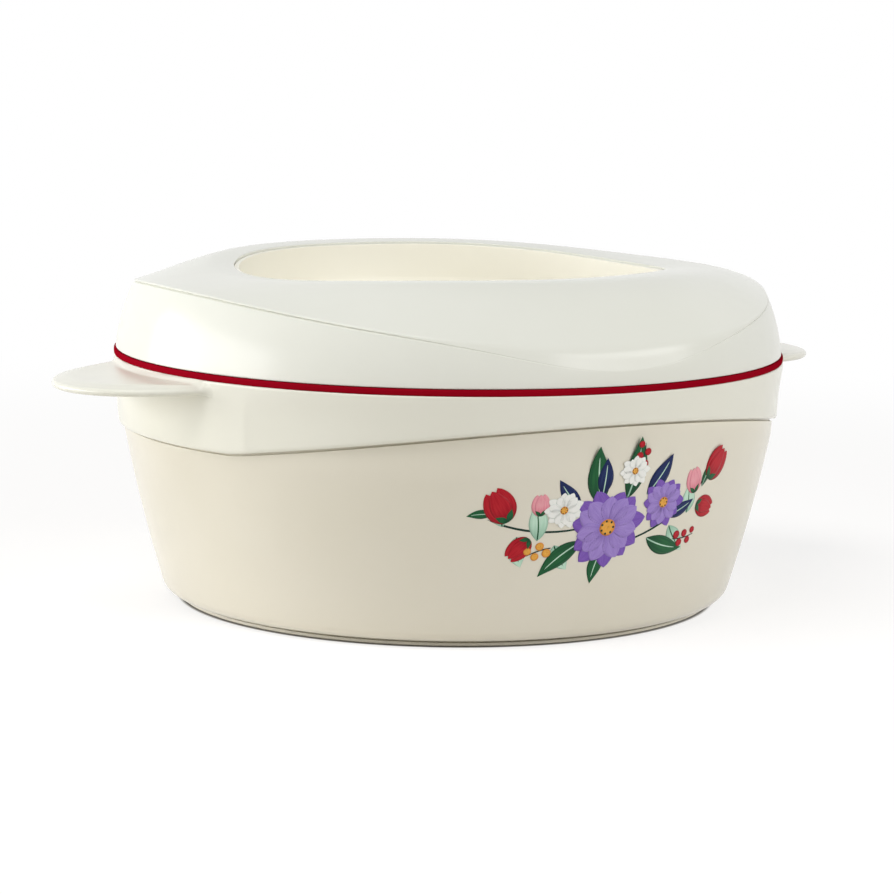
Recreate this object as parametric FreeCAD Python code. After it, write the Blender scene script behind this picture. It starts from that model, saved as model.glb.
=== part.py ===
import FreeCAD, Part

# Insulated chapati casserole.  A foam-filled round body carries a steel bowl, and a foam-filled
# lid lifts straight off it.  Units are millimetres.  +Z is up and the origin is the centre of the
# foot ring's underside.  The ear handles lie on +X and -X; the arched sides face -Y and +Y.

import math
import os

V = FreeCAD.Vector

# --- Moulded walls and play between pieces ---
shell_wall = 2.0          # outer shell of the body
collar_wall = 1.8         # collar round the rim
lid_wall = 2.2            # outer shell of the lid
liner_wall = 1.8          # pan that closes the lid's underside
dish_wall = 1.8           # ivory dish in the lid's top
steel = 0.6               # sheet of the bowl
slip_gap = 0.15           # pieces of one body that slide into each other
lid_gap = 0.3             # lid's edge above the trim ring

# --- Collar, the widest round piece: every other radius steps in from it ---
collar_radius = 135.3     # at the shoulder under the trim ring
collar_taper = 1.5        # how much narrower the skirt is at its lower edge
collar_height = 27.0      # skirt height at the handles
deck_height = 102.0       # flat deck that carries the bowl and the lid
deck_width = 18.1         # from the trim ring in to the bowl's hole
arch_rise = 15.1          # how much shorter the skirt is at front and back
arch_start = 52.7         # half length of the level edge at each handle
arch_sag = 1.0            # how far the arched edge hangs below a straight line

# --- Outer shell: foot, rounded base corner, leaning wall ---
neck_play = 1.3           # upright neck inside the collar
waist_step = 1.1          # the leaning wall passes out of sight this far inside the neck
wall_spread = 21.6        # how much narrower the flat base is than the waist
waist_below_skirt = 2.1
neck_below_shoulder = 13.5
foot_set_in = 0.8         # foot ring inside the flat base
foot_width = 3.0
foot_height = 2.5
base_corner = 6.5
base_lean = 17.0          # degrees from upright where the base corner runs into the wall
wall_bulge = 0.8          # how far the leaning wall bows outwards
neck_bulge = 0.3          # and the short wall between waist and neck
fill_hole_radius = 8.0

# --- Ear handles ---
ear_overhang = 34.3       # how far a handle stands out from the collar
ear_reach = 50.0
ear_half_width = 44.2
ear_power = 1.95          # 2 gives an ellipse, more gives a squarer outline
ear_thickness = 3.9
ear_drop = 1.9            # top face below the shoulder at the root
ear_slope = 2.2           # degrees down towards the tip
ear_round = 1.8
ear_rim = 2.6             # solid border round the hollow underside
ear_skin = 1.8            # top skin over the hollow
ear_rib = 1.8
ear_rib_spacing = 22.0

# --- Trim ring ---
ring_set_in = 0.1         # inside the collar's shoulder
ring_width = 3.7
ring_height = 2.4
ring_below_deck = 1.1
ring_round = 0.7

# --- Steel bowl ---
bowl_play = 1.6           # in the deck's hole
bowl_draft = 6.0          # degrees
bowl_floor = 20.0
bowl_corner = 18.0
flange_lap = 3.6          # flange on the deck round the hole
bowl_bead = 0.9           # radius of the rolled edge
bowl_turn = 1.4           # rounding where the wall turns out into the flange

# --- Lid shell ---
lid_set_in = 0.8          # lid's edge inside the trim ring
lid_taper = 9.2           # how much narrower the wall is at the shoulder
lid_shoulder_height = 29.1    # above the lid's lower edge
lid_wall_bulge = 1.7
crease_high = 28.8        # crease above the lid's lower edge at the handles
crease_low = 13.3         # and at front and back
crease_round = 1.3        # from the crease to where its rounding ends, at the handles
crease_soften = 4.2       # how much wider the rounding is at front and back
crease_soft_power = 8     # how short the soft stretches are
crest_set_in = 37.4       # crest inside the lid's edge
crest_high = 35.6         # crest above the lid's lower edge at front and back
crest_low = 31.8          # and at the handles
crest_power = 4           # how narrow the dips at the handles are
lip_set_in = 10.0         # round opening inside the crest
lip_roll = 1.5            # lip below the crest
panel_power = 1.9         # roundness of the panels: 1 is a straight slope
panel_swing = 0.6         # the panels are fuller towards +X and flatter towards -X
hoop_wall = 1.8           # upright hoop that the dish is bonded into
hoop_depth = 12.0

# --- Dish, liner and plugs ---
dish_depth = 20.0         # below the lip at the handles
dish_draft = 8.0
dish_corner = 9.0
dish_inset = 0.4          # dish's rim below the lip
liner_rise = 2.5          # flange above the deck, over the bowl's rolled edge
liner_drop = 6.5          # pan below the deck, inside the bowl
plug_play = 1.6           # pan inside the bowl's mouth
pan_draft = 12.0
pan_corner = 3.0
seat_rib_gap = 1.6        # from the bowl's rolled edge to the rib that carries the lid
seat_rib_width = 2.5
plug_head_overlap = 3.0
plug_head_height = 1.2
plug_stem = 4.0
lid_hole_radius = 7.0

# --- Radii that follow from the sizes above ---
ring_radius = collar_radius - ring_set_in
deck_radius = ring_radius - ring_width
deck_bore = deck_radius - deck_width
neck_radius = collar_radius - collar_wall - neck_play
waist_radius = neck_radius - waist_step
base_flat_radius = waist_radius - wall_spread
foot_radius = base_flat_radius - foot_set_in
ear_tip = collar_radius + ear_overhang
bowl_mouth_radius = deck_bore - bowl_play - steel
bowl_flange_radius = deck_bore + flange_lap
seat_rib_radius = bowl_flange_radius + bowl_bead + seat_rib_gap + seat_rib_width
lid_foot_radius = ring_radius - lid_set_in
lid_shoulder_radius = lid_foot_radius - lid_taper
crest_radius = lid_foot_radius - crest_set_in
lip_radius = crest_radius - lip_set_in

# --- Heights that follow ---
ring_top = deck_height - ring_below_deck
shoulder_height = ring_top - ring_height
skirt_edge = shoulder_height - collar_height
shell_top = shoulder_height - collar_wall
waist_height = skirt_edge - waist_below_skirt
neck_height = shoulder_height - neck_below_shoulder
base_inside = foot_height + shell_wall
lid_edge = ring_top + lid_gap
lid_top = lid_edge + crest_high
liner_flange = deck_height + liner_rise
liner_floor = deck_height - liner_drop
dish_floor = lid_edge + crest_low - lip_roll - dish_depth
deck_underside = deck_height - collar_wall
hoop_base = lid_edge + crest_low - hoop_depth
hollow_base = lid_edge - lid_wall

SPOKES = 24               # points round each ring of the lid's skin
WALL_SHARES = (0, 0.5, 1)     # rings on the lid's wall, from its foot to the rounded crease
ROOF_SHARES = (1, 0.7, 0.35, 0)  # rings on the roof, from the rounded crease to the crest
CREASE_STEPS = 12         # rounds that settle the crease's height
CREASE_INSET = 0.7        # drop of the inner crease for each millimetre of wall
EAR_POINTS = 16           # points round a handle's outline
EAR_RINGS = 4             # outlines stacked into a handle's rounded rim


# ---------------------------------------------------------------- helpers

def at(radius, height):
    """Point of a turned profile, in the XZ plane."""
    return V(radius, 0, height)


def arc(start, middle, end):
    """Arc through three points."""
    return Part.Arc(start, middle, end).toShape()


def line(start, end):
    """Straight edge."""
    return Part.LineSegment(start, end).toShape()


def bowed(start, end, bulge):
    """Arc between two profile points that bows outwards by bulge."""
    chord = end - start
    outward = V(chord.z, 0, -chord.x).normalize()
    return arc(start, (start + end) * 0.5 + outward * bulge, end)


def turned(edges):
    """Full turn of a closed profile about the Z axis."""
    face = Part.Face(Part.Wire(edges))
    return face.revolve(V(0, 0, 0), V(0, 0, 1), 360)


def turned_polygon(points):
    """Full turn of a profile with straight sides, given as (radius, height) pairs."""
    corners = [at(*point) for point in points]
    return turned([line(a, b) for a, b in zip(corners, corners[1:] + corners[:1])])


def disc(radius, low, high):
    """Upright cylinder on the axis."""
    return Part.makeCylinder(radius, high - low, V(0, 0, low))


def cup(mouth_radius, draft, floor, top, corner):
    """Solid cup: flat floor, rounded corner, and a wall that opens at draft degrees."""
    lean = math.radians(draft)
    centre_height = floor + corner
    wall_at_centre = mouth_radius - (top - centre_height) * math.tan(lean)
    centre_radius = wall_at_centre - corner / math.cos(lean)

    def on_corner(angle):
        return at(centre_radius + corner * math.cos(angle), centre_height + corner * math.sin(angle))

    low = on_corner(-math.pi / 2)
    high = on_corner(-lean)
    middle = on_corner(-(math.pi / 2 + lean) / 2)
    return turned([
        line(at(0, floor), low),
        arc(low, middle, high),
        line(high, at(mouth_radius, top)),
        line(at(mouth_radius, top), at(0, top)),
        line(at(0, top), at(0, floor)),
    ])


# ---------------------------------------------------------------- body

def shell_form(inset, base, top):
    """Solid outer form of the body, moved in by inset, from base to top."""
    corner = base_corner - inset
    lean = math.radians(base_lean)
    centre = at(base_flat_radius, foot_height + base_corner)

    def on_corner(angle):
        return centre + at(corner * math.cos(angle), corner * math.sin(angle))

    low = on_corner(-math.pi / 2)
    middle = on_corner(-(math.pi / 2 + lean) / 2)
    high = on_corner(-lean)
    waist = at(waist_radius - inset, waist_height)
    neck = at(neck_radius - inset, neck_height)
    return turned([
        line(at(0, base), low),
        arc(low, middle, high),
        bowed(high, waist, wall_bulge),
        bowed(waist, neck, neck_bulge),
        line(neck, at(neck.x, top)),
        line(at(neck.x, top), at(0, top)),
        line(at(0, top), at(0, base)),
    ])


def body_cavity(top):
    """Space inside the outer shell."""
    return shell_form(shell_wall, base_inside, top)


def make_outer_shell():
    """Body shell with its foot ring and foam-fill hole."""
    shell = shell_form(0, foot_height, shell_top)
    shell = shell.cut(body_cavity(shell_top))
    foot = disc(foot_radius, 0, foot_height).cut(disc(foot_radius - foot_width, 0, foot_height))
    shell = shell.fuse(foot).removeSplitter()
    return shell.cut(disc(fill_hole_radius, 0, base_inside))


def skirt_radius(height):
    """Outer radius of the collar's tapered skirt."""
    return collar_radius - collar_taper * (shoulder_height - height) / collar_height


def collar_blank():
    """Collar before its edge is arched: skirt, shoulder for the ring, and flat deck."""
    skirt_low = skirt_radius(skirt_edge)
    step = deck_radius - collar_wall
    return turned_polygon([
        (skirt_low, skirt_edge),
        (collar_radius, shoulder_height),
        (deck_radius, shoulder_height),
        (deck_radius, deck_height),
        (deck_bore, deck_height),
        (deck_bore, deck_underside),
        (step, deck_underside),
        (step, shell_top),
        (collar_radius - collar_wall, shell_top),
        (skirt_low - collar_wall, skirt_edge),
    ])


def arch_cutter(side):
    """Prism across the collar under its arched edge at the front (-1) or back (1)."""
    reach = collar_radius + ear_reach
    low = V(0, side * arch_start, skirt_edge)
    high = V(0, side * collar_radius, skirt_edge + arch_rise)
    middle = (low + high) * 0.5 - V(0, 0, arch_sag)
    out = V(0, side * reach, high.z)
    below = V(0, side * reach, skirt_edge - collar_height)
    under = V(0, side * arch_start, skirt_edge - collar_height)
    corners = [high, out, below, under, low]
    sides = [line(a, b) for a, b in zip(corners, corners[1:])]
    face = Part.Face(Part.Wire([arc(low, middle, high)] + sides))
    face.translate(V(-reach, 0, 0))
    return face.extrude(V(2 * reach, 0, 0))


def ear_outline(inset, height):
    """Closed plan outline of one handle, moved in by inset, at a height."""
    centre = ear_tip - ear_reach
    points = []
    for step in range(EAR_POINTS):
        angle = 2 * math.pi * step / EAR_POINTS
        cosine = math.cos(angle)
        sine = math.sin(angle)
        x = (ear_reach - inset) * math.copysign(abs(cosine) ** (2 / ear_power), cosine)
        y = (ear_half_width - inset) * math.copysign(abs(sine) ** (2 / ear_power), sine)
        points.append(V(centre + x, y, height))
    curve = Part.BSplineCurve()
    curve.interpolate(Points=points, PeriodicFlag=True)
    return Part.Wire(curve.toShape())


def tilted(ear):
    """Handle solid set at its slope and height on the shoulder."""
    pivot = V(collar_radius, 0, 0)
    ear.rotate(pivot, V(0, 1, 0), ear_slope)
    ear.translate(V(0, 0, shoulder_height - ear_drop))
    return ear


def ear_plate():
    """Handle plate, its rim a full round: rings of the outline stacked from bottom to top."""
    rings = []
    for step in range(EAR_RINGS + 1):
        angle = math.pi * (step / EAR_RINGS - 0.5)
        inset = ear_round * (1 - math.cos(angle))
        height = ear_thickness * (math.sin(angle) - 1) / 2
        rings.append(ear_outline(inset, height))
    return Part.makeLoft(rings, True, False)


def make_ear():
    """One handle on the +X side: rounded plate, hollow underneath with ribs across."""
    hollow = Part.Face(ear_outline(ear_rim, -2 * ear_thickness))
    hollow = hollow.extrude(V(0, 0, 2 * ear_thickness - ear_skin))
    for place in (-ear_rib_spacing, 0, ear_rib_spacing):
        corner = V(ear_tip - 2 * ear_reach, place - ear_rib / 2, -2 * ear_thickness)
        hollow = hollow.cut(Part.makeBox(2 * ear_reach, ear_rib, 2 * ear_thickness, corner))
    ear = tilted(ear_plate().cut(hollow))
    inside = disc(skirt_radius(shoulder_height - ear_drop) - collar_wall / 2, 0, deck_height)
    return ear.cut(inside)


def make_handle_collar():
    """Collar with both ear handles moulded on."""
    collar = collar_blank()
    for side in (-1, 1):
        collar = collar.cut(arch_cutter(side))
    ear = make_ear()
    collar = collar.fuse(ear)
    ear.rotate(V(0, 0, 0), V(0, 0, 1), 180)
    return collar.fuse(ear)


def make_trim_ring():
    """Crimson ring on the collar's shoulder, round its deck."""
    ring = disc(ring_radius, shoulder_height, ring_top)
    ring = ring.cut(disc(deck_radius + slip_gap, shoulder_height, ring_top))
    outer = [edge for edge in ring.Edges if edge.Length > 2 * math.pi * (deck_radius + ring_height)]
    return ring.makeFillet(ring_round, outer)


def bowl_form(grow, top):
    """Solid of the bowl's inside, grown by grow."""
    return cup(bowl_mouth_radius + grow, bowl_draft, bowl_floor - grow, top, bowl_corner + grow)


def rim_edges(solid, radius, height):
    """Edges of a turned solid that run round the axis at a radius and height, to the sheet's half."""
    near = steel / 2
    found = []
    for edge in solid.Edges:
        place = edge.valueAt(edge.FirstParameter)
        level = abs(edge.BoundBox.ZLength) < near and abs(place.z - height) < near
        if level and abs(math.hypot(place.x, place.y) - radius) < near:
            found.append(edge)
    return found


def make_inner_bowl():
    """Steel bowl: drawn cup, flange on the deck, rolled edge."""
    flange_top = deck_height + steel
    bowl = bowl_form(steel, flange_top)
    bowl = bowl.fuse(disc(bowl_flange_radius, deck_height, flange_top))
    under_flange = rim_edges(bowl, bowl_mouth_radius + steel, deck_height)
    bowl = bowl.makeFillet(bowl_turn, under_flange)
    bead = Part.makeTorus(bowl_flange_radius, bowl_bead, V(0, 0, deck_height + bowl_bead))
    bowl = bowl.fuse(bead).cut(bowl_form(0, flange_top))
    mouth = rim_edges(bowl, bowl_mouth_radius, flange_top)
    return bowl.makeFillet(bowl_turn + steel, mouth)


def make_body_plug():
    """Plug in the body's foam-fill hole, its head inside the foot's height."""
    head = disc(fill_hole_radius + plug_head_overlap, foot_height - plug_head_height, foot_height)
    stem = disc(fill_hole_radius - slip_gap, foot_height, foot_height + plug_stem)
    return head.fuse(stem).removeSplitter()


def make_body_foam():
    """Foam between the shell, the collar and the bowl."""
    foam = body_cavity(shell_top).fuse(disc(deck_radius - collar_wall, shell_top, deck_underside))
    foam = foam.cut(bowl_form(steel, deck_height + steel))
    return foam.cut(make_body_plug())


# ---------------------------------------------------------------- lid

def wall_radius(height):
    """Outer radius of the lid's bowed wall at a height."""
    foot = at(lid_foot_radius, lid_edge)
    shoulder = at(lid_shoulder_radius, lid_edge + lid_shoulder_height)
    chord = shoulder - foot
    outward = V(chord.z, 0, -chord.x).normalize()
    wall = Part.Circle(foot, (foot + shoulder) * 0.5 + outward * lid_wall_bulge, shoulder)
    return wall.Center.x + math.sqrt(wall.Radius ** 2 - (height - wall.Center.z) ** 2)


def crease_height(angle):
    """Height of the crease: in side view it is a parabola, high at the handles."""
    fall = (crease_high - crease_low) / wall_radius(lid_edge + crease_low) ** 2
    height = lid_edge + crease_low
    for _ in range(CREASE_STEPS):
        height = lid_edge + crease_high - fall * (wall_radius(height) * math.sin(angle)) ** 2
    return height


def crest_height(angle):
    """Height of the roof's crest, low at the handles and high at front and back."""
    return lid_edge + crest_high - (crest_high - crest_low) * math.cos(angle) ** crest_power


def wall_point(angle, share, inset, base):
    """Radius and height on the lid's wall: share 0 is its foot and 1 the crease."""
    top = crease_height(angle) - CREASE_INSET * inset
    height = base + (top - base) * share
    return wall_radius(height) - inset, height


def roof_point(angle, share, inset, base):
    """Radius and height on the roof: share 0 is the crest and 1 the crease."""
    radius, height = wall_point(angle, 1, inset, base)
    crest = crest_height(angle) - inset
    power = panel_power + panel_swing * math.cos(angle)
    return crest_radius + (radius - crest_radius) * share, crest - (crest - height) * share ** power


def crease_reach(angle):
    """How far the crease's rounding reaches: crisp at the handles, soft at front and back."""
    return crease_round + crease_soften * math.sin(angle) ** crease_soft_power


def plain_wall(angle, share, inset, base):
    """Point on the wall below the crease's rounding: share 1 is where the rounding starts."""
    top = crease_height(angle) - CREASE_INSET * inset
    return wall_point(angle, share * (1 - crease_reach(angle) / (top - base)), inset, base)


def plain_roof(angle, share, inset, base):
    """Point on the roof above the crease's rounding: share 1 is where the rounding ends."""
    radius, _ = wall_point(angle, 1, inset, base)
    return roof_point(angle, share * (1 - crease_reach(angle) / (radius - crest_radius)), inset, base)


def on_crease(angle, inset, base):
    """Middle of the crease's rounding, a quarter of the way from the sharp corner."""
    low = plain_wall(angle, 1, inset, base)
    corner = wall_point(angle, 1, inset, base)
    high = plain_roof(angle, 1, inset, base)
    return tuple((a + 2 * b + c) / 4 for a, b, c in zip(low, corner, high))


def ring(point_at):
    """Closed smooth curve round the axis; point_at gives radius and height at an angle."""
    points = []
    for step in range(SPOKES):
        angle = 2 * math.pi * step / SPOKES
        radius, height = point_at(angle)
        points.append(V(radius * math.cos(angle), radius * math.sin(angle), height))
    curve = Part.BSplineCurve()
    curve.interpolate(Points=points, PeriodicFlag=True)
    return Part.Wire(curve.toShape())


def lid_form(inset, base, bore):
    """Solid under the lid's skin moved in by inset: bowed wall, creased saddle roof, round bore."""
    wall = [ring(lambda angle, s=s: plain_wall(angle, s, inset, base)) for s in WALL_SHARES]
    crease = ring(lambda angle: on_crease(angle, inset, base))
    roof = [ring(lambda angle, s=s: plain_roof(angle, s, inset, base)) for s in ROOF_SHARES]
    lip = ring(lambda angle: (bore, crest_height(angle) - lip_roll - inset))
    bore_foot = ring(lambda angle: (bore, base))
    faces = Part.makeLoft(wall, False, False).Faces
    faces += Part.makeLoft([wall[-1], crease, roof[0]], False, False).Faces
    faces += Part.makeLoft(roof + [lip], False, False).Faces
    faces += Part.makeLoft([lip, bore_foot], False, True).Faces
    faces += Part.makeFace([wall[0], bore_foot], "Part::FaceMakerBullseye").Faces
    skin = Part.makeShell(faces)
    skin.sewShape()
    return Part.makeSolid(skin)


def lid_hollow():
    """Space inside the lid's shell, outside the hoop, open at the lid's lower edge."""
    return lid_form(lid_wall, hollow_base, lip_radius + hoop_wall)


def make_lid_shell():
    """Lid shell: bowed wall, creased saddle roof, and a hoop for the dish."""
    shell = lid_form(0, lid_edge, lip_radius)
    shell = shell.cut(lid_hollow())
    return shell.cut(disc(lip_radius + hoop_wall + lid_wall, hollow_base, hoop_base))


def dish_form(inset):
    """Solid dish, moved in by inset: tapered cup below, upright rim inside the hoop."""
    radius = lip_radius - slip_gap - inset
    form = cup(radius, dish_draft, dish_floor - dish_wall + inset, hoop_base, dish_corner - inset)
    return form.fuse(disc(radius, hoop_base, lid_top))


def above_lip():
    """Solid above the saddle that the dish's rim follows."""
    drop = lip_roll + dish_inset
    rings = []
    for radius in (lip_radius - 4 * dish_wall, lip_radius + dish_wall):
        rings.append(ring(lambda angle, radius=radius: (radius, crest_height(angle) - drop)))
    return Part.makeLoft(rings, False, True).Faces[0].extrude(V(0, 0, lid_top))


def make_lid_dish():
    """Dish in the top of the lid, its rim just below the lip all round."""
    return dish_form(0).cut(dish_form(dish_wall)).cut(above_lip())


def pan_form(inset):
    """Solid pan that drops inside the bowl's mouth, moved in by inset."""
    lean = math.tan(math.radians(pan_draft))
    top = liner_flange + liner_wall
    mouth = bowl_mouth_radius - plug_play + (top - deck_height) * lean - inset
    return cup(mouth, pan_draft, liner_floor + inset, top, pan_corner)


def make_lid_liner():
    """Liner: flange inside the lid's wall, rib that sits on the deck, pan inside the bowl."""
    top = liner_flange + liner_wall
    liner = disc(wall_radius(top) - lid_wall - slip_gap, liner_flange, top)
    rib = disc(seat_rib_radius, deck_height, liner_flange)
    rib = rib.cut(disc(seat_rib_radius - seat_rib_width, deck_height, liner_flange))
    liner = liner.fuse(rib).fuse(pan_form(0)).cut(pan_form(liner_wall))
    return liner.cut(disc(lid_hole_radius, liner_floor, liner_floor + liner_wall))


def make_lid_plug():
    """Plug in the liner's foam-fill hole, its head under the pan."""
    head = disc(lid_hole_radius + plug_head_overlap, liner_floor - plug_head_height, liner_floor)
    stem = disc(lid_hole_radius - slip_gap, liner_floor, liner_floor + plug_stem)
    return head.fuse(stem).removeSplitter()


def make_lid_foam():
    """Foam between the lid's shell, the dish and the liner."""
    top = liner_flange + liner_wall
    foam = lid_hollow().cut(disc(collar_radius, hollow_base, top))
    foam = foam.fuse(disc(lip_radius + hoop_wall + lid_wall, top, hoop_base))
    foam = foam.fuse(pan_form(liner_wall))
    return foam.cut(dish_form(0)).cut(make_lid_plug())


nodes = {
    "outer_shell": make_outer_shell,
    "handle_collar": make_handle_collar,
    "trim_ring": make_trim_ring,
    "inner_bowl": make_inner_bowl,
    "body_foam": make_body_foam,
    "body_foam_plug": make_body_plug,
    "lid_shell": make_lid_shell,
    "lid_dish": make_lid_dish,
    "lid_liner": make_lid_liner,
    "lid_foam": make_lid_foam,
    "lid_foam_plug": make_lid_plug,
}

os.makedirs("parts", exist_ok=True)
for name, make in nodes.items():
    make().exportStep("parts/" + name + ".step")
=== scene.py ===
import logging
import math
from dataclasses import dataclass, field
from enum import Enum

import bpy
import numpy as np
from mathutils import Matrix, Vector


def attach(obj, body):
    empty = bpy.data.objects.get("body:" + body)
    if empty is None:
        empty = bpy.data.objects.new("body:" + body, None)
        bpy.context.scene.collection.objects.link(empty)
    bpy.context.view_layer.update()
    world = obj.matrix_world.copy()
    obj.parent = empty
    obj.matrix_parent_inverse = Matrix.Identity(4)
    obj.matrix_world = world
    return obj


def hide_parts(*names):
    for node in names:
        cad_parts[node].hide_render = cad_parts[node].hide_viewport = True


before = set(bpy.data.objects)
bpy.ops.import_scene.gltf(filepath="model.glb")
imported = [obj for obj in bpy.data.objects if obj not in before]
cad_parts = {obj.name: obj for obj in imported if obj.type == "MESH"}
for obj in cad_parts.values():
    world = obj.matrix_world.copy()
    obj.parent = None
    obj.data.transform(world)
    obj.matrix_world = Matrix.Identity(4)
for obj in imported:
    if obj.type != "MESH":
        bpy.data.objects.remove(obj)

# Looks of the insulated chapati casserole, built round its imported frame.  Sizes are millimetres
# in the frame's axes: +Z up, the ear handles on +X and -X, the arched sides facing -Y and +Y.

Array = np.ndarray
Surface = tuple[Array, list[Array]]
Twin = tuple[Array, Array]
Pair = tuple[float, float]
Triple = tuple[float, float, float]
Colour = Triple
Socket = bpy.types.NodeSocket

MM = 0.001
TURN = 2 * math.pi
ANGLE_STEPS = 512
ANGLES = np.arange(ANGLE_STEPS) * (TURN / ANGLE_STEPS)
ARC_STEPS = 14
WALL_STEPS = 24
OUTLINE_STEPS = 600
SETTLING_ROUNDS = 14
LONGEST_RUN = 9.0
CUT_LIMIT = 0.45
FLAT_REACH = 1.7
FLAT_LIMIT = 0.49
HUB_RADIUS = 0.6
BLADE_STEPS, BLADE_COLUMNS = 14, 7
DOT_RINGS, DOT_STEPS = 4, 18
THINNEST = 0.02
log = logging.getLogger("casserole")


# ------------------------------------------------------------------ surfaces

def linked(name: str, data: bpy.types.ID) -> bpy.types.Object:
    """New object of some data, in the scene.

    Args:
        name: the object's name.
        data: what it shows.

    Returns:
        The object.
    """
    item = bpy.data.objects.new(name, data)
    bpy.context.scene.collection.objects.link(item)
    return item


def make_object(name: str, points: Array, faces: list[Array], outward: bool = True) -> bpy.types.Object:
    """Mesh object at the origin from points in millimetres.

    Formula: each corner fan of a face encloses a sixth of the product of its three corners'
    places; where the sum over the surface is negative, every face is turned round.

    Args:
        name: name of the object and its mesh.
        points: (n, 3) places.
        faces: index arrays of shape (k, 4) or (k, 3).
        outward: turn the faces of a closed surface outwards.

    Returns:
        The linked, smoothly shaded object.
    """
    if outward:
        volume = 0.0
        for part in faces:
            for corner in range(1, part.shape[1] - 1):
                a, b, c = points[part[:, 0]], points[part[:, corner]], points[part[:, corner + 1]]
                volume += np.einsum("ij,ij->i", a, np.cross(b, c)).sum()
        if volume < 0:
            faces = [part[:, ::-1] for part in faces]
    sizes = np.concatenate([np.full(len(part), part.shape[1]) for part in faces])
    corners = np.concatenate([part.ravel() for part in faces])
    mesh = bpy.data.meshes.new(name)
    mesh.vertices.add(len(points))
    mesh.vertices.foreach_set("co", (points * MM).astype(np.float32).ravel())
    mesh.loops.add(len(corners))
    mesh.loops.foreach_set("vertex_index", corners.astype(np.int32))
    mesh.polygons.add(len(sizes))
    mesh.polygons.foreach_set("loop_start", (np.cumsum(sizes) - sizes).astype(np.int32))
    mesh.update(calc_edges=True)
    mesh.shade_smooth()
    return linked(name, mesh)


def grid_faces(rows: int, columns: int, wrap_rows: bool, wrap_columns: bool) -> Array:
    """Quads between the neighbours of a grid of points.

    Args:
        rows: number of rows.
        columns: points in each row.
        wrap_rows: join the last row to the first.
        wrap_columns: join each row's last point to its first.

    Returns:
        (k, 4) indices.
    """
    index = np.arange(rows * columns).reshape(rows, columns)
    if wrap_rows:
        index = np.vstack([index, index[:1]])
    if wrap_columns:
        index = np.hstack([index, index[:, :1]])
    return np.stack([index[:-1, :-1], index[:-1, 1:], index[1:, 1:], index[1:, :-1]], -1).reshape(-1, 4)


def fan_faces(ring: Array, hub: int) -> Array:
    """Triangles from a closed ring of indices to one hub point."""
    return np.stack([ring, np.roll(ring, -1), np.full(len(ring), hub)], -1)


def joined(parts: list[Surface]) -> Surface:
    """One surface of several.

    Args:
        parts: points and faces of each.

    Returns:
        All points, and all quads and triangles counted on through them.
    """
    faces, first = {}, 0
    for points, part_faces in parts:
        for part in part_faces:
            faces.setdefault(-part.shape[1], []).append(part + first)
        first += len(points)
    return np.vstack([points for points, _ in parts]), [np.vstack(faces[sides]) for sides in sorted(faces)]


def turned_surface(path: Array, looped: bool) -> Surface:
    """Closed surface of a path carried once round the axis.

    Formula: station (r, z) at angle a is the point (r cos a, r sin a, z).  A looped path joins
    its end to its start; otherwise both ends close on the axis with a fan.

    Args:
        path: (k, 2, n) radius and height of each station, at every angle or at one for all.
        looped: whether the path is a closed loop.

    Returns:
        Points and faces.
    """
    path = np.broadcast_to(path, (*path.shape[:2], ANGLE_STEPS))
    faces = [grid_faces(len(path), ANGLE_STEPS, looped, True)]
    radii, heights = path[:, 0], path[:, 1]
    points = np.stack([radii * np.cos(ANGLES), radii * np.sin(ANGLES), heights], -1).reshape(-1, 3)
    if not looped:
        ring, count = np.arange(ANGLE_STEPS), len(points)
        faces += [fan_faces(ring[::-1], count), fan_faces(ring + count - ANGLE_STEPS, count + 1)]
        points = np.vstack([points, [0, 0, heights[0].mean()], [0, 0, heights[-1].mean()]])
    return points, faces


def softened(stations: list[tuple], looped: bool, steps: int = 6) -> Array:
    """Path round a section with its corners rounded.

    Formula: a corner C with cut c becomes (1-t)^2 A + 2t(1-t) C + t^2 B, where A and B lie at c
    from C towards its neighbours.  One more point on each side, a little farther out, keeps the
    flats flat.

    Args:
        stations: (radius, height, cut) of each station; each may be a number or an array over
            the angles, and a cut of 0 keeps the station as it is.
        looped: whether the last station joins the first.
        steps: parts of each rounding.

    Returns:
        (k, 2, n) path.
    """
    count = max(np.size(value) for station in stations for value in station)
    places = [np.stack([np.broadcast_to(r, count), np.broadcast_to(z, count)]) for r, z, _ in stations]
    share = np.linspace(0, 1, steps + 1)[:, None, None]
    path = []
    for number, (here, (_, _, cut)) in enumerate(zip(places, stations)):
        at_end = not looped and number in (0, len(places) - 1)
        if np.max(cut) == 0 or at_end:
            path.append(here[None])
            continue
        runs = [places[number - 1] - here, places[(number + 1) % len(places)] - here]
        reach = [np.hypot(*run) for run in runs]
        near = np.minimum(cut, CUT_LIMIT * np.minimum(*reach))
        start, end = (here + run / far * near for run, far in zip(runs, reach))
        outer = [np.minimum(FLAT_REACH * near, FLAT_LIMIT * far) for far in reach]
        before, after = (here + run / far * out for run, far, out in zip(runs, reach, outer))
        curve = (1 - share) ** 2 * start + 2 * share * (1 - share) * here + share ** 2 * end
        path += [before[None], curve, after[None]]
    return np.concatenate(path)


def filled(path: Array) -> Array:
    """Path with points added, so that no run is too long at any angle.

    Args:
        path: (k, 2, n) path.

    Returns:
        Longer path.
    """
    parts = []
    for start, end in zip(path[:-1], path[1:]):
        count = max(1, math.ceil(float(np.hypot(*(end - start)).max()) / LONGEST_RUN))
        parts.append(start + (end - start) * (np.arange(count) / count)[:, None, None])
    return np.concatenate([*parts, path[-1:]])


def turned_piece(name: str, stations: list[tuple], looped: bool, steps: int = 6) -> bpy.types.Object:
    """Object of a section that is carried round the axis with rounded corners."""
    return make_object(name, *turned_surface(filled(softened(stations, looped, steps)), looped))


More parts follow.
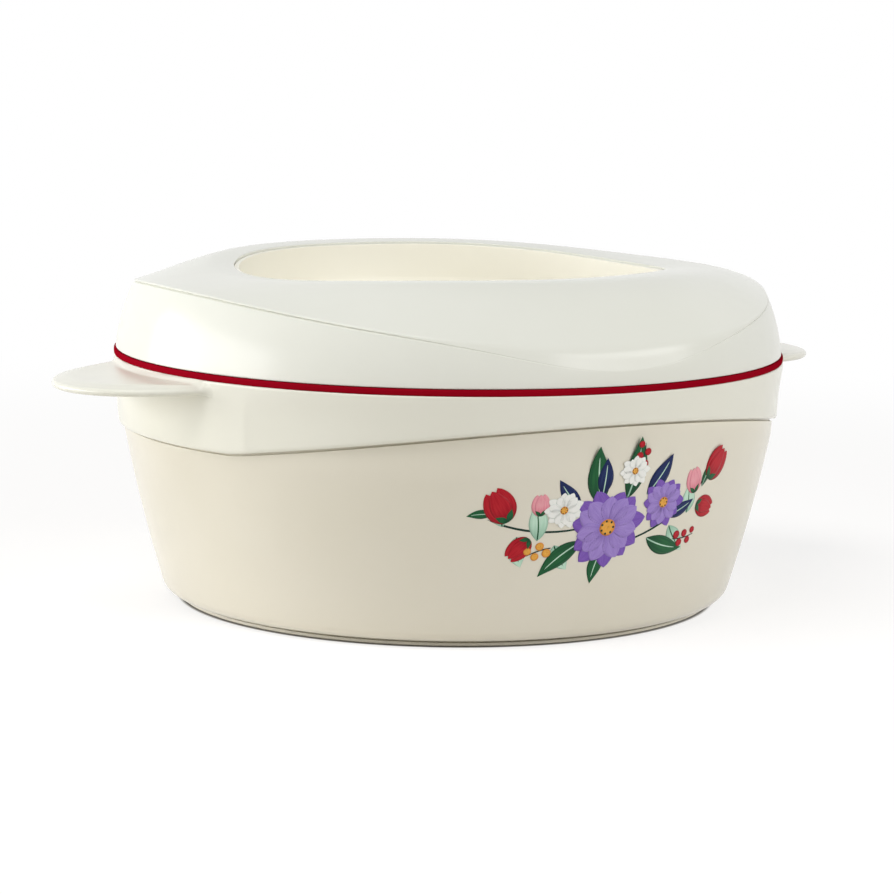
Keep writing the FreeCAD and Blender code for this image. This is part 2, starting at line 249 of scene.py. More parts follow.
def arc_stations(centre: Pair, radius: float, start: float, end: float) -> list[tuple]:
    """Stations on an arc about a centre, from start to end in degrees from outwards."""
    angle = np.radians(np.linspace(start, end, ARC_STEPS + 1))
    return [(centre[0] + radius * math.cos(a), centre[1] + radius * math.sin(a), 0) for a in angle]


def cup_stations(mouth: float, draft: float, floor: float, top: float, corner: float) -> list[tuple]:
    """Stations of a drafted cup from its floor's middle to its mouth.

    Formula: the wall leans out by draft degrees, and an arc of the corner's radius touches both
    the floor and the wall.

    Args:
        mouth: radius at the top.
        draft: wall's lean in degrees.
        floor: height of the floor.
        top: height of the mouth.
        corner: radius between floor and wall.

    Returns:
        Stations (radius, height, cut).
    """
    lean = math.radians(draft)
    centre_z = floor + corner
    centre_r = mouth - (top - centre_z) * math.tan(lean) - corner / math.cos(lean)
    rings = [(centre_r * share, floor, 0) for share in (0.25, 0.5, 0.75, 0.97)]
    corner_arc = arc_stations((centre_r, centre_z), corner, -90, -draft)
    low_r, low_z, _ = corner_arc[-1]
    run, rise = mouth - low_r, top - low_z
    wall = [(low_r + run * share, low_z + rise * share, 0) for share in (0.04, 0.3, 0.6, 0.9)]
    return [(HUB_RADIUS, floor, 0), *rings, *corner_arc, *wall, (mouth, top, 0)]


# ------------------------------------------------------------------ finishes

class Effect(Enum):
    """Shared surface effects, each one shader node group."""

    MOULDED = "moulded_surface"
    SPUN = "spun_metal"
    FOAMED = "foamed_surface"
    PRINTED = "printed_ink"


class Graph:
    """Short way to add and join nodes of a node tree."""

    def __init__(self, tree: bpy.types.NodeTree) -> None:
        """Works on the given tree."""
        self.tree = tree

    def node(
        self, kind: str, values: dict[str | int, object] | None = None, **settings: object,
    ) -> bpy.types.Node:
        """Adds a node of a kind, sets its properties and links or sets its inputs.

        Args:
            kind: node type name without its Shader prefix, or a full name.
            values: value or socket of each input that is given, by name or number.
            settings: properties of the node.

        Returns:
            The node.
        """
        made = self.tree.nodes.new(kind if kind.startswith("NodeGroup") else "ShaderNode" + kind)
        for key, value in settings.items():
            setattr(made, key, value)
        for key, value in (values or {}).items():
            if isinstance(value, Socket):
                self.tree.links.new(value, made.inputs[key])
            else:
                made.inputs[key].default_value = value
        return made

    def calc(self, operation: str, first: object, second: object = 0.5) -> Socket:
        """Math node of two values or sockets."""
        return self.node("Math", {0: first, 1: second}, operation=operation).outputs[0]

    def times(self, first: object, second: object) -> Socket:
        """Product of two values or sockets."""
        return self.calc("MULTIPLY", first, second)

    def span(self, value: Socket, low: float, high: float, start: float = 0.0, end: float = 1.0) -> Socket:
        """Smooth step from start to end while a value goes from low to high."""
        values = {"Value": value, "From Min": low, "From Max": high, "To Min": start, "To Max": end}
        return self.node("MapRange", values, interpolation_type="SMOOTHSTEP").outputs["Result"]

    def blend(self, share: Socket, first: object, second: object) -> Socket:
        """Mix of two colours by a share."""
        ends = [(*value, 1.0) if isinstance(value, tuple) else value for value in (first, second)]
        return self.node("Mix", {0: share, 6: ends[0], 7: ends[1]}, data_type="RGBA").outputs[2]

    def noise(self, vector: Socket, scale: float, detail: float = 3.0) -> Socket:
        """Noise value of about 0 to 1 at a scale per metre."""
        return self.node("TexNoise", {"Vector": vector, "Scale": scale, "Detail": detail}).outputs["Fac"]

    def place(self) -> Socket:
        """Place on the object."""
        return self.node("TexCoord").outputs["Object"]

    def split(self, vector: Socket) -> list[Socket]:
        """X, Y and Z of a vector."""
        return list(self.node("SeparateXYZ", {0: vector}).outputs)

    def vector(self, *parts: Socket) -> Socket:
        """Vector of two or three sockets."""
        return self.node("CombineXYZ", dict(enumerate(parts))).outputs[0]

    def bump(self, height: Socket, strength: float, depth: float) -> Socket:
        """Normal of a height, at a strength and a depth in metres."""
        values = {"Strength": strength, "Distance": depth, "Height": height}
        return self.node("Bump", values).outputs["Normal"]

    def result(self, kind: str, shader: bpy.types.Node) -> None:
        """Joins a shader to the output of a material or a world."""
        self.node("Output" + kind, {"Surface": shader.outputs[0]})


def node_graph(block: bpy.types.ID) -> Graph:
    """Graph of a material or a world, emptied.

    Args:
        block: material or world.

    Returns:
        Graph of its node tree.
    """
    block.use_nodes = True
    block.node_tree.nodes.clear()
    return Graph(block.node_tree)


class EffectLibrary:
    """Builds each shared effect once and places it in materials."""

    def __init__(self) -> None:
        """Starts with no groups built."""
        self.groups: dict[Effect, bpy.types.NodeTree] = {}

    def place(self, graph: Graph, effect: Effect) -> bpy.types.NodeOutputs:
        """Adds an effect's group node to a material's graph.

        Args:
            graph: the material's graph.
            effect: which effect.

        Returns:
            The group node's outputs.
        """
        if effect not in self.groups:
            maker = {
                Effect.MOULDED: self.moulded,
                Effect.SPUN: self.spun,
                Effect.FOAMED: self.foamed,
                Effect.PRINTED: self.printed,
            }[effect]
            inside = Graph(bpy.data.node_groups.new(effect.value, "ShaderNodeTree"))
            made = maker(inside)
            for label in made:
                inside.tree.interface.new_socket(label, in_out="OUTPUT", socket_type="NodeSocketFloat")
            inside.node("NodeGroupOutput", made)
            self.groups[effect] = inside.tree
        return graph.node("Group", node_tree=self.groups[effect]).outputs

    @staticmethod
    def moulded(graph: Graph) -> dict[str, Socket]:
        """Moulded plastic: cloudy tone, orange-peel height and faint rub marks.

        Args:
            graph: the effect's graph.

        Returns:
            Sockets by their label.
        """
        place = graph.place()
        stretched = graph.node("Mapping", {"Vector": place, "Scale": (1.0, 1.0, 2.5)}).outputs["Vector"]
        fine = graph.times(graph.noise(place, 1700.0, 2.0), 0.35)
        return {
            "Tone": graph.span(graph.noise(place, 14.0, 4.0), 0.3, 0.7),
            "Height": graph.calc("ADD", graph.noise(place, 420.0, 1.0), fine),
            "Wear": graph.span(graph.noise(stretched, 18.0), 0.35, 0.75),
        }

    @staticmethod
    def spun(graph: Graph) -> dict[str, Socket]:
        """Spun metal: fine rings round the axis, from the distance to the axis and the height.

        Args:
            graph: the effect's graph.

        Returns:
            Sockets by their label.
        """
        x, y, z = graph.split(graph.place())
        radius = graph.calc("SQRT", graph.calc("ADD", graph.times(x, x), graph.times(y, y)))
        along = graph.times(graph.calc("ADD", radius, z), 2600.0)
        lines = graph.noise(graph.vector(along, graph.times(x, 6.0), graph.times(y, 6.0)), 1.0)
        tone = graph.span(lines, 0.3, 0.7)
        return {"Height": lines, "Tone": tone, "Wear": tone}

    @staticmethod
    def foamed(graph: Graph) -> dict[str, Socket]:
        """Rigid foam: small closed cells and broad colour drift.

        Args:
            graph: the effect's graph.

        Returns:
            Sockets by their label.
        """
        place = graph.place()
        cells = graph.node("TexVoronoi", {"Vector": place, "Scale": 700.0}).outputs["Distance"]
        tone = graph.span(graph.noise(place, 40.0, 4.0), 0.3, 0.7)
        return {"Height": cells, "Tone": tone, "Wear": tone}

    @staticmethod
    def printed(graph: Graph) -> dict[str, Socket]:
        """Brushed ink: darker heart, streaks along a motif and a darker edge, from the ink map.

        Args:
            graph: the effect's graph.

        Returns:
            Sockets by their label.
        """
        across, along, _ = graph.split(graph.node("UVMap", uv_map="ink").outputs["UV"])
        streaks = graph.noise(graph.vector(graph.times(across, 9.0), graph.times(along, 1.6)), 1.0, 4.0)
        off = graph.calc("ABSOLUTE", graph.calc("SUBTRACT", across, 0.5))
        return {
            "Heart": graph.span(along, 0.0, 0.55, 1.0, 0.0),
            "Streak": graph.span(streaks, 0.35, 0.65),
            "Edge": graph.span(off, 0.36, 0.5),
        }


EFFECTS = EffectLibrary()


@dataclass(frozen=True)
class SolidFinish:
    """Finish whose colour and roughness drift with a shared effect, which gives its relief too."""

    name: str
    colour: Colour
    drift: Colour
    roughness: float = 0.2
    wear: float = 0.05
    relief: float = 0.03
    shine: float = 0.5
    effect: Effect = Effect.MOULDED
    depth: float = 0.0004
    metal: float = 0.0

    def shading(self, graph: Graph, effect: bpy.types.NodeOutputs) -> dict[str, object]:
        """Values of the shader's inputs.

        Args:
            graph: the material's graph.
            effect: outputs of the finish's effect.

        Returns:
            Values and sockets by the name of the input.
        """
        return {
            "Base Color": graph.blend(effect["Tone"], self.colour, self.drift),
            "Roughness": graph.calc("ADD", graph.times(effect["Wear"], self.wear), self.roughness),
            "Normal": graph.bump(effect["Height"], self.relief, self.depth),
            "Specular IOR Level": self.shine,
            "Metallic": self.metal,
        }


@dataclass(frozen=True)
class InkFinish:
    """Transfer-printed ink: body colour, heart, streaks and edge."""

    name: str
    colour: Colour
    heart: Colour
    streak: Colour
    edge: Colour
    effect: Effect = Effect.PRINTED

    def shading(self, graph: Graph, effect: bpy.types.NodeOutputs) -> dict[str, object]:
        """Values of the shader's inputs.

        Args:
            graph: the material's graph.
            effect: outputs of the finish's effect.

        Returns:
            Values and sockets by the name of the input.
        """
        tone = self.colour
        shares = (("Streak", 0.5, self.streak), ("Heart", 0.6, self.heart), ("Edge", 0.4, self.edge))
        for part, share, colour in shares:
            tone = graph.blend(graph.times(effect[part], share), tone, colour)
        return {"Base Color": tone, "Roughness": 0.4, "Specular IOR Level": 0.15}


Finish = SolidFinish | InkFinish

LID_CREAM = SolidFinish("lid_cream_plastic", (0.80, 0.805, 0.735), (0.78, 0.785, 0.71), shine=0.24)
COLLAR_CREAM = SolidFinish("collar_cream_plastic", (0.82, 0.81, 0.72), (0.80, 0.79, 0.69), shine=0.35)
BODY_CREAM = SolidFinish(
    "body_beige_plastic", (0.79, 0.75, 0.64), (0.77, 0.73, 0.61), relief=0.04, shine=0.4)
RING_CRIMSON = SolidFinish(
    "ring_crimson_plastic", (0.31, 0.003, 0.0125), (0.275, 0.002, 0.010), 0.36, 0.08, 0.06, 0.0)
DISH_IVORY = SolidFinish(
    "dish_ivory_plastic", (0.925, 0.90, 0.80), (0.915, 0.885, 0.77), 0.3, 0.06, 0.05, 0.3)
LINER_WHITE = SolidFinish("liner_white_plastic", (0.80, 0.80, 0.78), (0.77, 0.77, 0.75), 0.36, 0.1, 0.1)
PLUG_WHITE = SolidFinish("plug_white_plastic", (0.74, 0.74, 0.71), (0.70, 0.70, 0.67), 0.42, 0.1, 0.12)
BOWL_STEEL = SolidFinish(
    "bowl_stainless_steel", (0.62, 0.61, 0.60), (0.558, 0.549, 0.54), 0.2, 0.08, 0.12,
    effect=Effect.SPUN, depth=0.0001, metal=1.0)
FOAM_BUFF = SolidFinish(
    "insulation_buff_foam", (0.72, 0.60, 0.36), (0.66, 0.52, 0.28), 0.85, 0.0, 0.5,
    effect=Effect.FOAMED, depth=0.0006)


class Dresser:
    """Makes each finish once, and gives pieces their finish and body."""

    def __init__(self) -> None:
        """Starts with no materials made."""
        self.made: dict[str, bpy.types.Material] = {}

    def material(self, finish: Finish) -> bpy.types.Material:
        """The one material of a finish: a Principled shader over the finish's effect.

        Args:
            finish: the finish.

        Returns:
            Its material, built when first asked for.
        """
        if finish.name not in self.made:
            self.made[finish.name] = bpy.data.materials.new(finish.name)
            graph = node_graph(self.made[finish.name])
            values = finish.shading(graph, EFFECTS.place(graph, finish.effect))
            graph.result("Material", graph.node("BsdfPrincipled", values))
        return self.made[finish.name]

    def dress(
        self, piece: bpy.types.Object, finish: Finish, body: str, node: str = "",
    ) -> None:
        """Gives a new piece its finish and its place on the frame.

        Args:
            piece: the new object.
            finish: its finish.
            body: body of the frame that it moves with.
            node: node of the frame that it stands for.
        """
        piece.data.materials.append(self.material(finish))
        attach(piece, body)
        if node:
            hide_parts(node)
        log.info("%s: %d faces, rides on %s", piece.name, len(piece.data.polygons), body)

    def dress_node(self, node: str, finish: Finish) -> None:
        """Gives a node of the frame a better material in its own slots.

        Args:
            node: name of the node.
            finish: its new finish.
        """
        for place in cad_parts[node].material_slots:
            place.material = self.material(finish)
        log.info("%s: kept from the frame", node)


# ------------------------------------------------------------------ body

def arc_through(low: Pair, high: Pair, bulge: float) -> tuple[float, float, float]:
    """Arc through two points that bulges from its chord.

    Formula: a chord of half length h with bulge b has radius R = (h^2 + b^2) / 2b, and its
    centre lies R - b from the chord's middle.

    Args:
        low: lower end.
        high: upper end.
        bulge: how far the arc stands out from its chord.

    Returns:
        Both places of the centre, on the chord's left, and the radius.
    """
    run, rise = high[0] - low[0], high[1] - low[1]
    length = math.hypot(run, rise)
    radius = ((length / 2) ** 2 + bulge ** 2) / (2 * bulge)
    share = (radius - bulge) / length
    return (low[0] + high[0]) / 2 - rise * share, (low[1] + high[1]) / 2 + run * share, radius


def bowed_radius(height: Array, low: Pair, high: Pair, bulge: float) -> Array:
    """Radius at a height on a wall that bows outwards between two (radius, height) points."""
    centre_r, centre_z, radius = arc_through(low, high, bulge)
    return centre_r + np.sqrt(radius ** 2 - (height - centre_z) ** 2)


@dataclass
class OuterShell:
    """Leaning body shell with a rounded base corner and a foot ring."""

    wall: float = 2.0
    foot_radius: float = 108.7
    foot_width: float = 3.0
    foot_height: float = 2.5
    foot_lift: float = 0.6
    foot_slot: float = 0.9
    foot_bevel: float = 1.2
    slot_depth: float = 2.0
    corner: float = 6.5
    corner_start: float = 109.5
    lean: float = 17.0
    waist: Pair = (131.1, 69.4)
    neck: Pair = (132.2, 85.0)
    top: float = 96.7
    bulge: float = 0.8
    hole: float = 8.0
    gap: Pair = (1.05, 1.0)
    gap_depth: float = 0.9
    neck_rise: float = 0.8

    def corner_end(self) -> Pair:
        """Where the base corner runs into the wall.

        Returns:
            Radius and height.
        """
        lean = math.radians(self.lean)
        centre_z = self.foot_height + self.corner
        return self.corner_start + self.corner * math.cos(lean), centre_z - self.corner * math.sin(lean)

    def wall_radius(self, height: Array) -> Array:
        """Outer radius of the leaning wall."""
        return bowed_radius(height, self.corner_end(), self.waist, self.bulge)

    def gap_stations(self, edge: Array) -> list[tuple]:
        """Shadow gap just under the collar: the wall steps in below the collar's edge.

        Args:
            edge: height of the collar's edge at each angle.

        Returns:
            Stations from the wall into the gap and out to the neck.
        """
        low, high = edge - self.gap[0], edge + self.gap[1]
        radii, heights = zip(self.waist, self.neck)
        lip, crown = (np.interp(height, heights, radii) for height in (low, high))
        inner = [(lip - self.gap_depth, low + 0.25, 0.1), (crown - self.gap_depth, high, 0.1)]
        return [(lip, low, 0.15), *inner, (crown, high + 0.3, 0)]

    def stations(self, edge: Array) -> list[tuple]:
        """Section of the shell: hole, foot, corner, wall, gap, neck, then back down inside.

        Args:
            edge: height of the collar's edge at each angle.

        Returns:
            Stations (radius, height, cut).
        """
        foot, hem, floor = self.foot_radius, self.foot_height, self.foot_height + self.wall
        foot_in, slot_in, slot_low = foot - self.foot_width, foot - self.slot_depth, hem - self.foot_slot
        heights = np.linspace(self.corner_end()[1], self.waist[1], WALL_STEPS)[1:]
        wall = [(float(self.wall_radius(z)), float(z), 0) for z in heights]
        neck, neck_in = self.neck[0], self.neck[0] - self.wall
        return [
            (self.hole, hem, 0.3), (foot_in, hem, 0.5), (foot_in, 0, 0.5),
            (foot - self.foot_bevel, 0, 0.2), (foot, self.foot_lift, 0.15),
            (foot, slot_low, 0.15), (slot_in, slot_low, 0.15), (slot_in, hem, 0.15),
            *arc_stations((self.corner_start, hem + self.corner), self.corner, -90, -self.lean),
            *wall, *self.gap_stations(edge),
            (neck, np.maximum(self.neck[1], edge + self.gap[1] + self.neck_rise), 0),
            (neck, self.top, 0.3),
            (neck_in, self.top, 0.3), (neck_in, self.neck[1], 0),
            *((radius - self.wall, height, 0) for radius, height, _ in reversed(wall[::3])),
            (self.corner_start, floor, 3), (self.hole, floor, 0.3),
        ]

    def build(self, dresser: Dresser, edge: Array) -> None:
        """Builds the shell under the collar's edge and finishes its plug.

        Args:
            dresser: gives the finish.
            edge: height of the collar's edge at each angle.
        """
        piece = turned_piece("body_outer_shell", self.stations(edge), True)
        dresser.dress(piece, BODY_CREAM, "body", "outer_shell")
        dresser.dress_node("body_foam_plug", PLUG_WHITE)
        dresser.dress_node("body_foam", FOAM_BUFF)


@dataclass
class SteelBowl:
    """Drawn steel bowl with a rounded mouth, a flange and a rolled edge."""

    sheet: float = 0.6
    mouth: float = 111.2
    draft: float = 6.0
    floor: float = 20.0
    corner: float = 18.0
    deck: float = 102.0
    flange: float = 117.0
    bead: float = 0.9
    bead_run: float = 0.8

    def build(self, dresser: Dresser) -> None:
        """Inside from the middle of the floor up to the flange, round the bead, and back outside.

        Args:
            dresser: gives the finish.
        """
        top, outer, low = self.deck + self.sheet, self.mouth + self.sheet, self.floor - self.sheet
        inside = cup_stations(self.mouth, self.draft, self.floor, top, self.corner)
        outside = cup_stations(outer, self.draft, low, self.deck, self.corner + self.sheet)
        inside[-1], outside[-1] = (self.mouth, top, 2.2), (outer, self.deck, 1.6)
        bead = arc_stations((self.flange, self.deck + self.bead), self.bead, 200, -90)
        flange = (self.flange - self.bead - self.bead_run, top, 0.3)
        piece = turned_piece("steel_bowl", [*inside, flange, *bead, *outside[::-1]], False)
        dresser.dress(piece, BOWL_STEEL, "body", "inner_bowl")


@dataclass
class TrimRing:
    """Thin crimson ring with a soft outer face."""

    radius: float = 135.2
    inner: float = 131.65
    low: float = 98.5
    high: float = 100.9
    swell: float = 0.12

    def build(self, dresser: Dresser) -> None:
        """Section: flat inside, bulging outside.

        Args:
            dresser: gives the finish.
        """
        shy = self.radius - self.swell
        stations = [
            (self.inner, self.low, 0.2), (shy, self.low, 0.55),
            (self.radius, (self.low + self.high) / 2, 0.6),
            (shy, self.high, 0.55), (self.inner, self.high, 0.2),
        ]
        piece = turned_piece("crimson_trim_ring", stations, True)
        dresser.dress(piece, RING_CRIMSON, "body", "trim_ring")


@dataclass
class HandleCollar:
    """Collar round the rim with its arched edge and two ear handles."""

    wall: float = 1.8
    radius: float = 135.3
    taper: float = 1.5
    height: float = 27.0
    shoulder: float = 98.5
    deck: float = 102.0
    deck_radius: float = 131.5
    bore: float = 113.4
    arch_rise: float = 15.1
    arch_start: float = 52.7
    arch_sag: float = 1.0
    arch_blend: float = 0.3
    edge_draw: float = 0.45
    edge_rise: float = 1.2
    corner_at: float = 60.0
    corner_dip: Pair = (0.42, 0.85)
    corner_width: Pair = (3.5, 7.0)
    corner_fade: Pair = (3.0, 8.0)
    ear_tip: float = 169.6
    ear_reach: float = 50.0
    ear_half_width: float = 44.2
    ear_power: float = 1.95
    ear_thickness: float = 3.9
    ear_drop: float = 1.9
    ear_slope: float = 2.2
    ear_round: float = 1.8
    ear_crown: float = 0.9
    ear_crown_width: float = 7.0
    ear_rim: float = 2.6
    ear_skin: float = 1.8
    ear_rib: float = 1.8
    ear_rib_spacing: float = 22.0
    rib_overlap: float = 0.6
    rib_share: Pair = (0.4, 0.5)
    rib_shy: Pair = (0.35, 0.5)
    root_fillet: float = 2.6
    root_shy: float = 0.15
    under_share: float = 0.3
    flare_reach: float = 3.5
    flare_run: float = 6.0
    flare_share: float = 0.88
    flare_end: Pair = (0.985, 0.995)
    root_sink: float = 0.35
    root_depth: float = 0.3
    swell_start: float = 0.25
    border_draft: float = 1.0
    ear_steps: tuple[int, int, int] = (26, 13, 15)
    columns: int = 161

    def skirt_edge(self, angle: Array) -> Array:
        """Height of the skirt's lower edge.

        Formula: level where |y| is under the arch's start, then an arc that rises to front and
        back; a softened maximum rounds the corner between them.

        Args:
            angle: angles round the axis.

        Returns:
            Heights.
        """
        level = self.shoulder - self.height
        side = np.abs(np.sin(angle)) * self.radius
        start, end = (self.arch_start, level), (self.radius, level + self.arch_rise)
        middle, centre, radius = arc_through(start, end, self.arch_sag)
        arch = centre - np.sqrt(radius ** 2 - (side - middle) ** 2)
        return (arch + level + np.hypot(arch - level, self.arch_blend)) / 2

    def skirt_radius(self, height: Array, angle: Array) -> Array:
        """Outer radius of the skirt: tapered, with a soft upright corner where each arch starts.

        Args:
            height: heights.
            angle: angles round the axis.

        Returns:
            Radii.
        """
        base = self.radius - self.taper * (self.shoulder - height) / self.height
        off = np.degrees(np.abs(np.arcsin(np.sin(angle))) - math.asin(self.corner_at / self.radius))
        near = np.abs(off) / np.where(off < 0, *self.corner_width)
        dip = np.where(off < 0, *self.corner_dip) * near * np.exp(1 - near)
        start, run = self.corner_fade
        return base - dip * np.clip((self.shoulder - height - start) / run, 0, 1)

    def collar_path(self) -> Array:
        """Section round the collar: skirt, shoulder, deck, underside and back down inside.

        Returns:
            (k, 2, n) path.
        """
        edge = self.skirt_edge(ANGLES)
        lifted = edge + self.edge_rise
        skirt = [edge + (self.shoulder - edge) * share for share in (0.3, 0.45, 0.6, 0.72, 0.82, 0.9)]
        step, under, bed = self.deck_radius - self.wall, self.deck - self.wall, self.shoulder - self.wall
        return softened([
            (self.skirt_radius(edge, ANGLES) - self.edge_draw, edge, 0.6),
            (self.skirt_radius(lifted, ANGLES), lifted, 0.8),
            *((self.skirt_radius(height, ANGLES), height, 0) for height in skirt),
            (self.radius, self.shoulder, 0.9), (self.deck_radius, self.shoulder, 0.2),
            (self.deck_radius, self.deck, 0.5), (self.bore, self.deck, 0.6),
            (self.bore, under, 0.4), (step, under, 0.3),
            (step, bed, 0.3), (self.radius - self.wall, bed, 0.3),
            (self.skirt_radius(edge, ANGLES) - self.wall, edge, 0.5),
        ], True)

    def outline(self, share: Array, inset: float) -> Array:
        """Plan outline of an ear, moved in by inset, that flares into the collar at both ends.

        Formula: the middle is a rounded ellipse about a point on the X axis.  From where it comes
        within the flare's reach of the collar, a quadratic curve leads on to the collar's circle,
        which it joins without a corner; the very ends dip inside the wall.

        Args:
            share: places along the outline, -1 to 1.
            inset: distance inside the outer outline.

        Returns:
            (n, 2) plan places.
        """
        circle = self.radius - self.root_sink
        power = 2 / self.ear_power
        turn = np.linspace(0, math.pi / 2, OUTLINE_STEPS)
        ellipse = np.stack([
            self.ear_tip - self.ear_reach + (self.ear_reach - inset) * np.cos(turn) ** power,
            (self.ear_half_width - inset) * np.sin(turn) ** power,
        ], -1)
        reach = np.hypot(*ellipse.T)

        def on_ellipse(at: Array) -> Array:
            """Places on the ellipse at given turns."""
            return np.stack([np.interp(at, turn, ellipse[:, 0]), np.interp(at, turn, ellipse[:, 1])], -1)

        begin = float(np.interp(-(circle + self.flare_reach), -reach, turn))
        corner = on_ellipse(float(np.interp(-circle, -reach, turn)))
        last = math.atan2(corner[1], corner[0]) + self.flare_run / circle
        end = circle * np.array([math.cos(last), math.sin(last)])
        along = np.abs(share)
        part = np.clip((along - self.flare_share) / (self.flare_end[0] - self.flare_share), 0, 1)[:, None]
        flare = (1 - part) ** 2 * on_ellipse(begin) + 2 * part * (1 - part) * corner + part ** 2 * end
        plan = np.where(part > 0, flare, on_ellipse(begin * np.minimum(along / self.flare_share, 1)))
        inside = end * (self.radius - self.wall / 2 - self.root_depth) / circle
        plan = np.where(along[:, None] > self.flare_end[1], inside, plan)
        return plan * np.stack([np.ones_like(share), np.sign(share)], -1)

    def crown_fall(self, gap: Array) -> Array:
        """Fall of an ear's top and underside at a distance from its rim."""
        return self.ear_crown * (1 - np.clip(gap / self.ear_crown_width, 0, 1)) ** 2

    def ear_surface(self) -> Surface:
        """Surface of the ear on +X, as rows round its thickness that run along the outline.

        Formula: on top, points go from the collar's wall to the outline's inset line, falling as
        the square of the nearness to the rim; a half turn of the rim's rounding follows; then the
        border, the wall of the hollow and the skin's underside lead back to the collar.  Near the
        collar top and underside swell by a quarter round.  A fan closes each end.

        Returns:
            Points and faces.
        """
        share = np.linspace(-1, 1, self.columns)
        inner, outer, rim = (self.outline(share, inset) for inset in (self.ear_round, 0.0, self.ear_rim))
        hollow = self.outline(share, self.ear_rim + self.border_draft)
        turn = math.atan2(inner[-1, 1], inner[-1, 0]) * share
        wall = np.hypot(*inner[-1]) * np.stack([np.cos(turn), np.sin(turn)], -1)
        rows = []

        def swell(plan: Array) -> Array:
            """Height added by the root's quarter round."""
            away = np.clip((np.hypot(*plan.T) - (self.radius - self.swell_start)) / self.root_fillet, 0, 1)
            return self.root_fillet * (1 - np.sqrt(1 - (1 - away) ** 2))

        def top(plan: Array, gap: Array) -> Array:
            """Height of the top face at a gap from the rim's rounding."""
            return np.minimum(swell(plan), self.ear_drop - self.root_shy) - self.crown_fall(gap)

        def row(plan: Array, height: Array) -> None:
            """Adds a row at plan places and heights."""
            rows.append(np.concatenate([plan, np.broadcast_to(height, len(plan))[:, None]], 1))

        for part in np.linspace(0, 1, self.ear_steps[0])[:-1]:
            plan = wall + (inner - wall) * part
            row(plan, top(plan, np.hypot(*(outer - plan).T) - self.ear_round))
        for angle in np.linspace(math.pi / 2, -math.pi / 2, self.ear_steps[1]):
            plan = self.outline(share, self.ear_round * (1 - math.cos(angle)))
            high, low = top(plan, np.zeros(len(plan))), -self.ear_thickness - self.under_share * swell(plan)
            row(plan, (high + low) / 2 + (high - low) / 2 * math.sin(angle))
        under, sole = self.under_share * swell(rim), -self.ear_thickness
        roof = -self.ear_skin - self.ear_crown
        for inset, height in ((0.0, sole + 0.05), (0.25, sole + 0.5), (0.4, roof - 0.4)):
            row(self.outline(share, self.ear_rim + inset), height - under)
        for part in np.linspace(1, 0, self.ear_steps[2]):
            plan = wall + (hollow - wall) * part
            fall = self.crown_fall(np.hypot(*(rim - plan).T))
            row(plan, -self.ear_skin - fall - self.under_share * swell(plan))
        points = self.tilted(np.stack(rows))
        count = len(rows)
        faces = [grid_faces(count, self.columns, True, False)[:, ::-1]]
        ring = np.arange(count) * self.columns
        hub = count * self.columns
        faces += [fan_faces(ring, hub), fan_faces(ring[::-1] + self.columns - 1, hub + 1)]
        return np.vstack([points.reshape(-1, 3), points[:, 0].mean(0), points[:, -1].mean(0)]), faces

    def tilted(self, points: Array) -> Array:
        """Points of an ear turned down by its slope about the shoulder and set at their height.

        Args:
            points: (..., 3) places with heights counted from the ear's top.

        Returns:
            Moved places.
        """
        slope = math.radians(self.ear_slope)
        out = points[..., 0] - self.radius
        x = self.radius + out * math.cos(slope) + points[..., 2] * math.sin(slope)
        z = self.shoulder - self.ear_drop - out * math.sin(slope) + points[..., 2] * math.cos(slope)
        return np.stack([x, points[..., 1], z], -1)

    def rib_surface(self, place: float) -> Surface:
        """Drafted rib across an ear's hollow.

        Args:
            place: where along the collar it stands.

        Returns:
            Points, as 4 lines of 2 ends, and faces.
        """
        inner = math.sqrt((self.radius - self.wall / 2) ** 2 - place ** 2)
        across = (1 - abs(place / self.ear_half_width) ** self.ear_power) ** (1 / self.ear_power)
        outer = self.ear_tip - self.ear_reach + self.ear_reach * across - self.ear_rim + self.rib_overlap
        low = (self.ear_rib * self.rib_share[0], -self.ear_thickness + self.rib_shy[0])
        high = (self.ear_rib * self.rib_share[1], -self.ear_skin + self.rib_shy[1])
        lines = [
            [[end, place + side * half, depth] for end in (inner, outer)]
            for side, (half, depth) in ((-1, low), (1, low), (1, high), (-1, high))
        ]
        faces = [grid_faces(4, 2, True, False), np.array([[0, 2, 4, 6], [7, 5, 3, 1]])]
        return self.tilted(np.array(lines)).reshape(-1, 3), faces

    def build(self, dresser: Dresser) -> None:
        """Joins the collar, both ears and their ribs in one piece.

        Args:
            dresser: gives the finish.
        """
        parts = [turned_surface(filled(self.collar_path()), True)]
        ribs = [self.rib_surface(place) for place in (-self.ear_rib_spacing, 0.0, self.ear_rib_spacing)]
        for side in (1, -1):
            parts += [(points * [side, side, 1], faces) for points, faces in (self.ear_surface(), *ribs)]
        piece = make_object("handle_collar_moulding", *joined(parts))
        dresser.dress(piece, COLLAR_CREAM, "body", "handle_collar")


# ------------------------------------------------------------------ lid

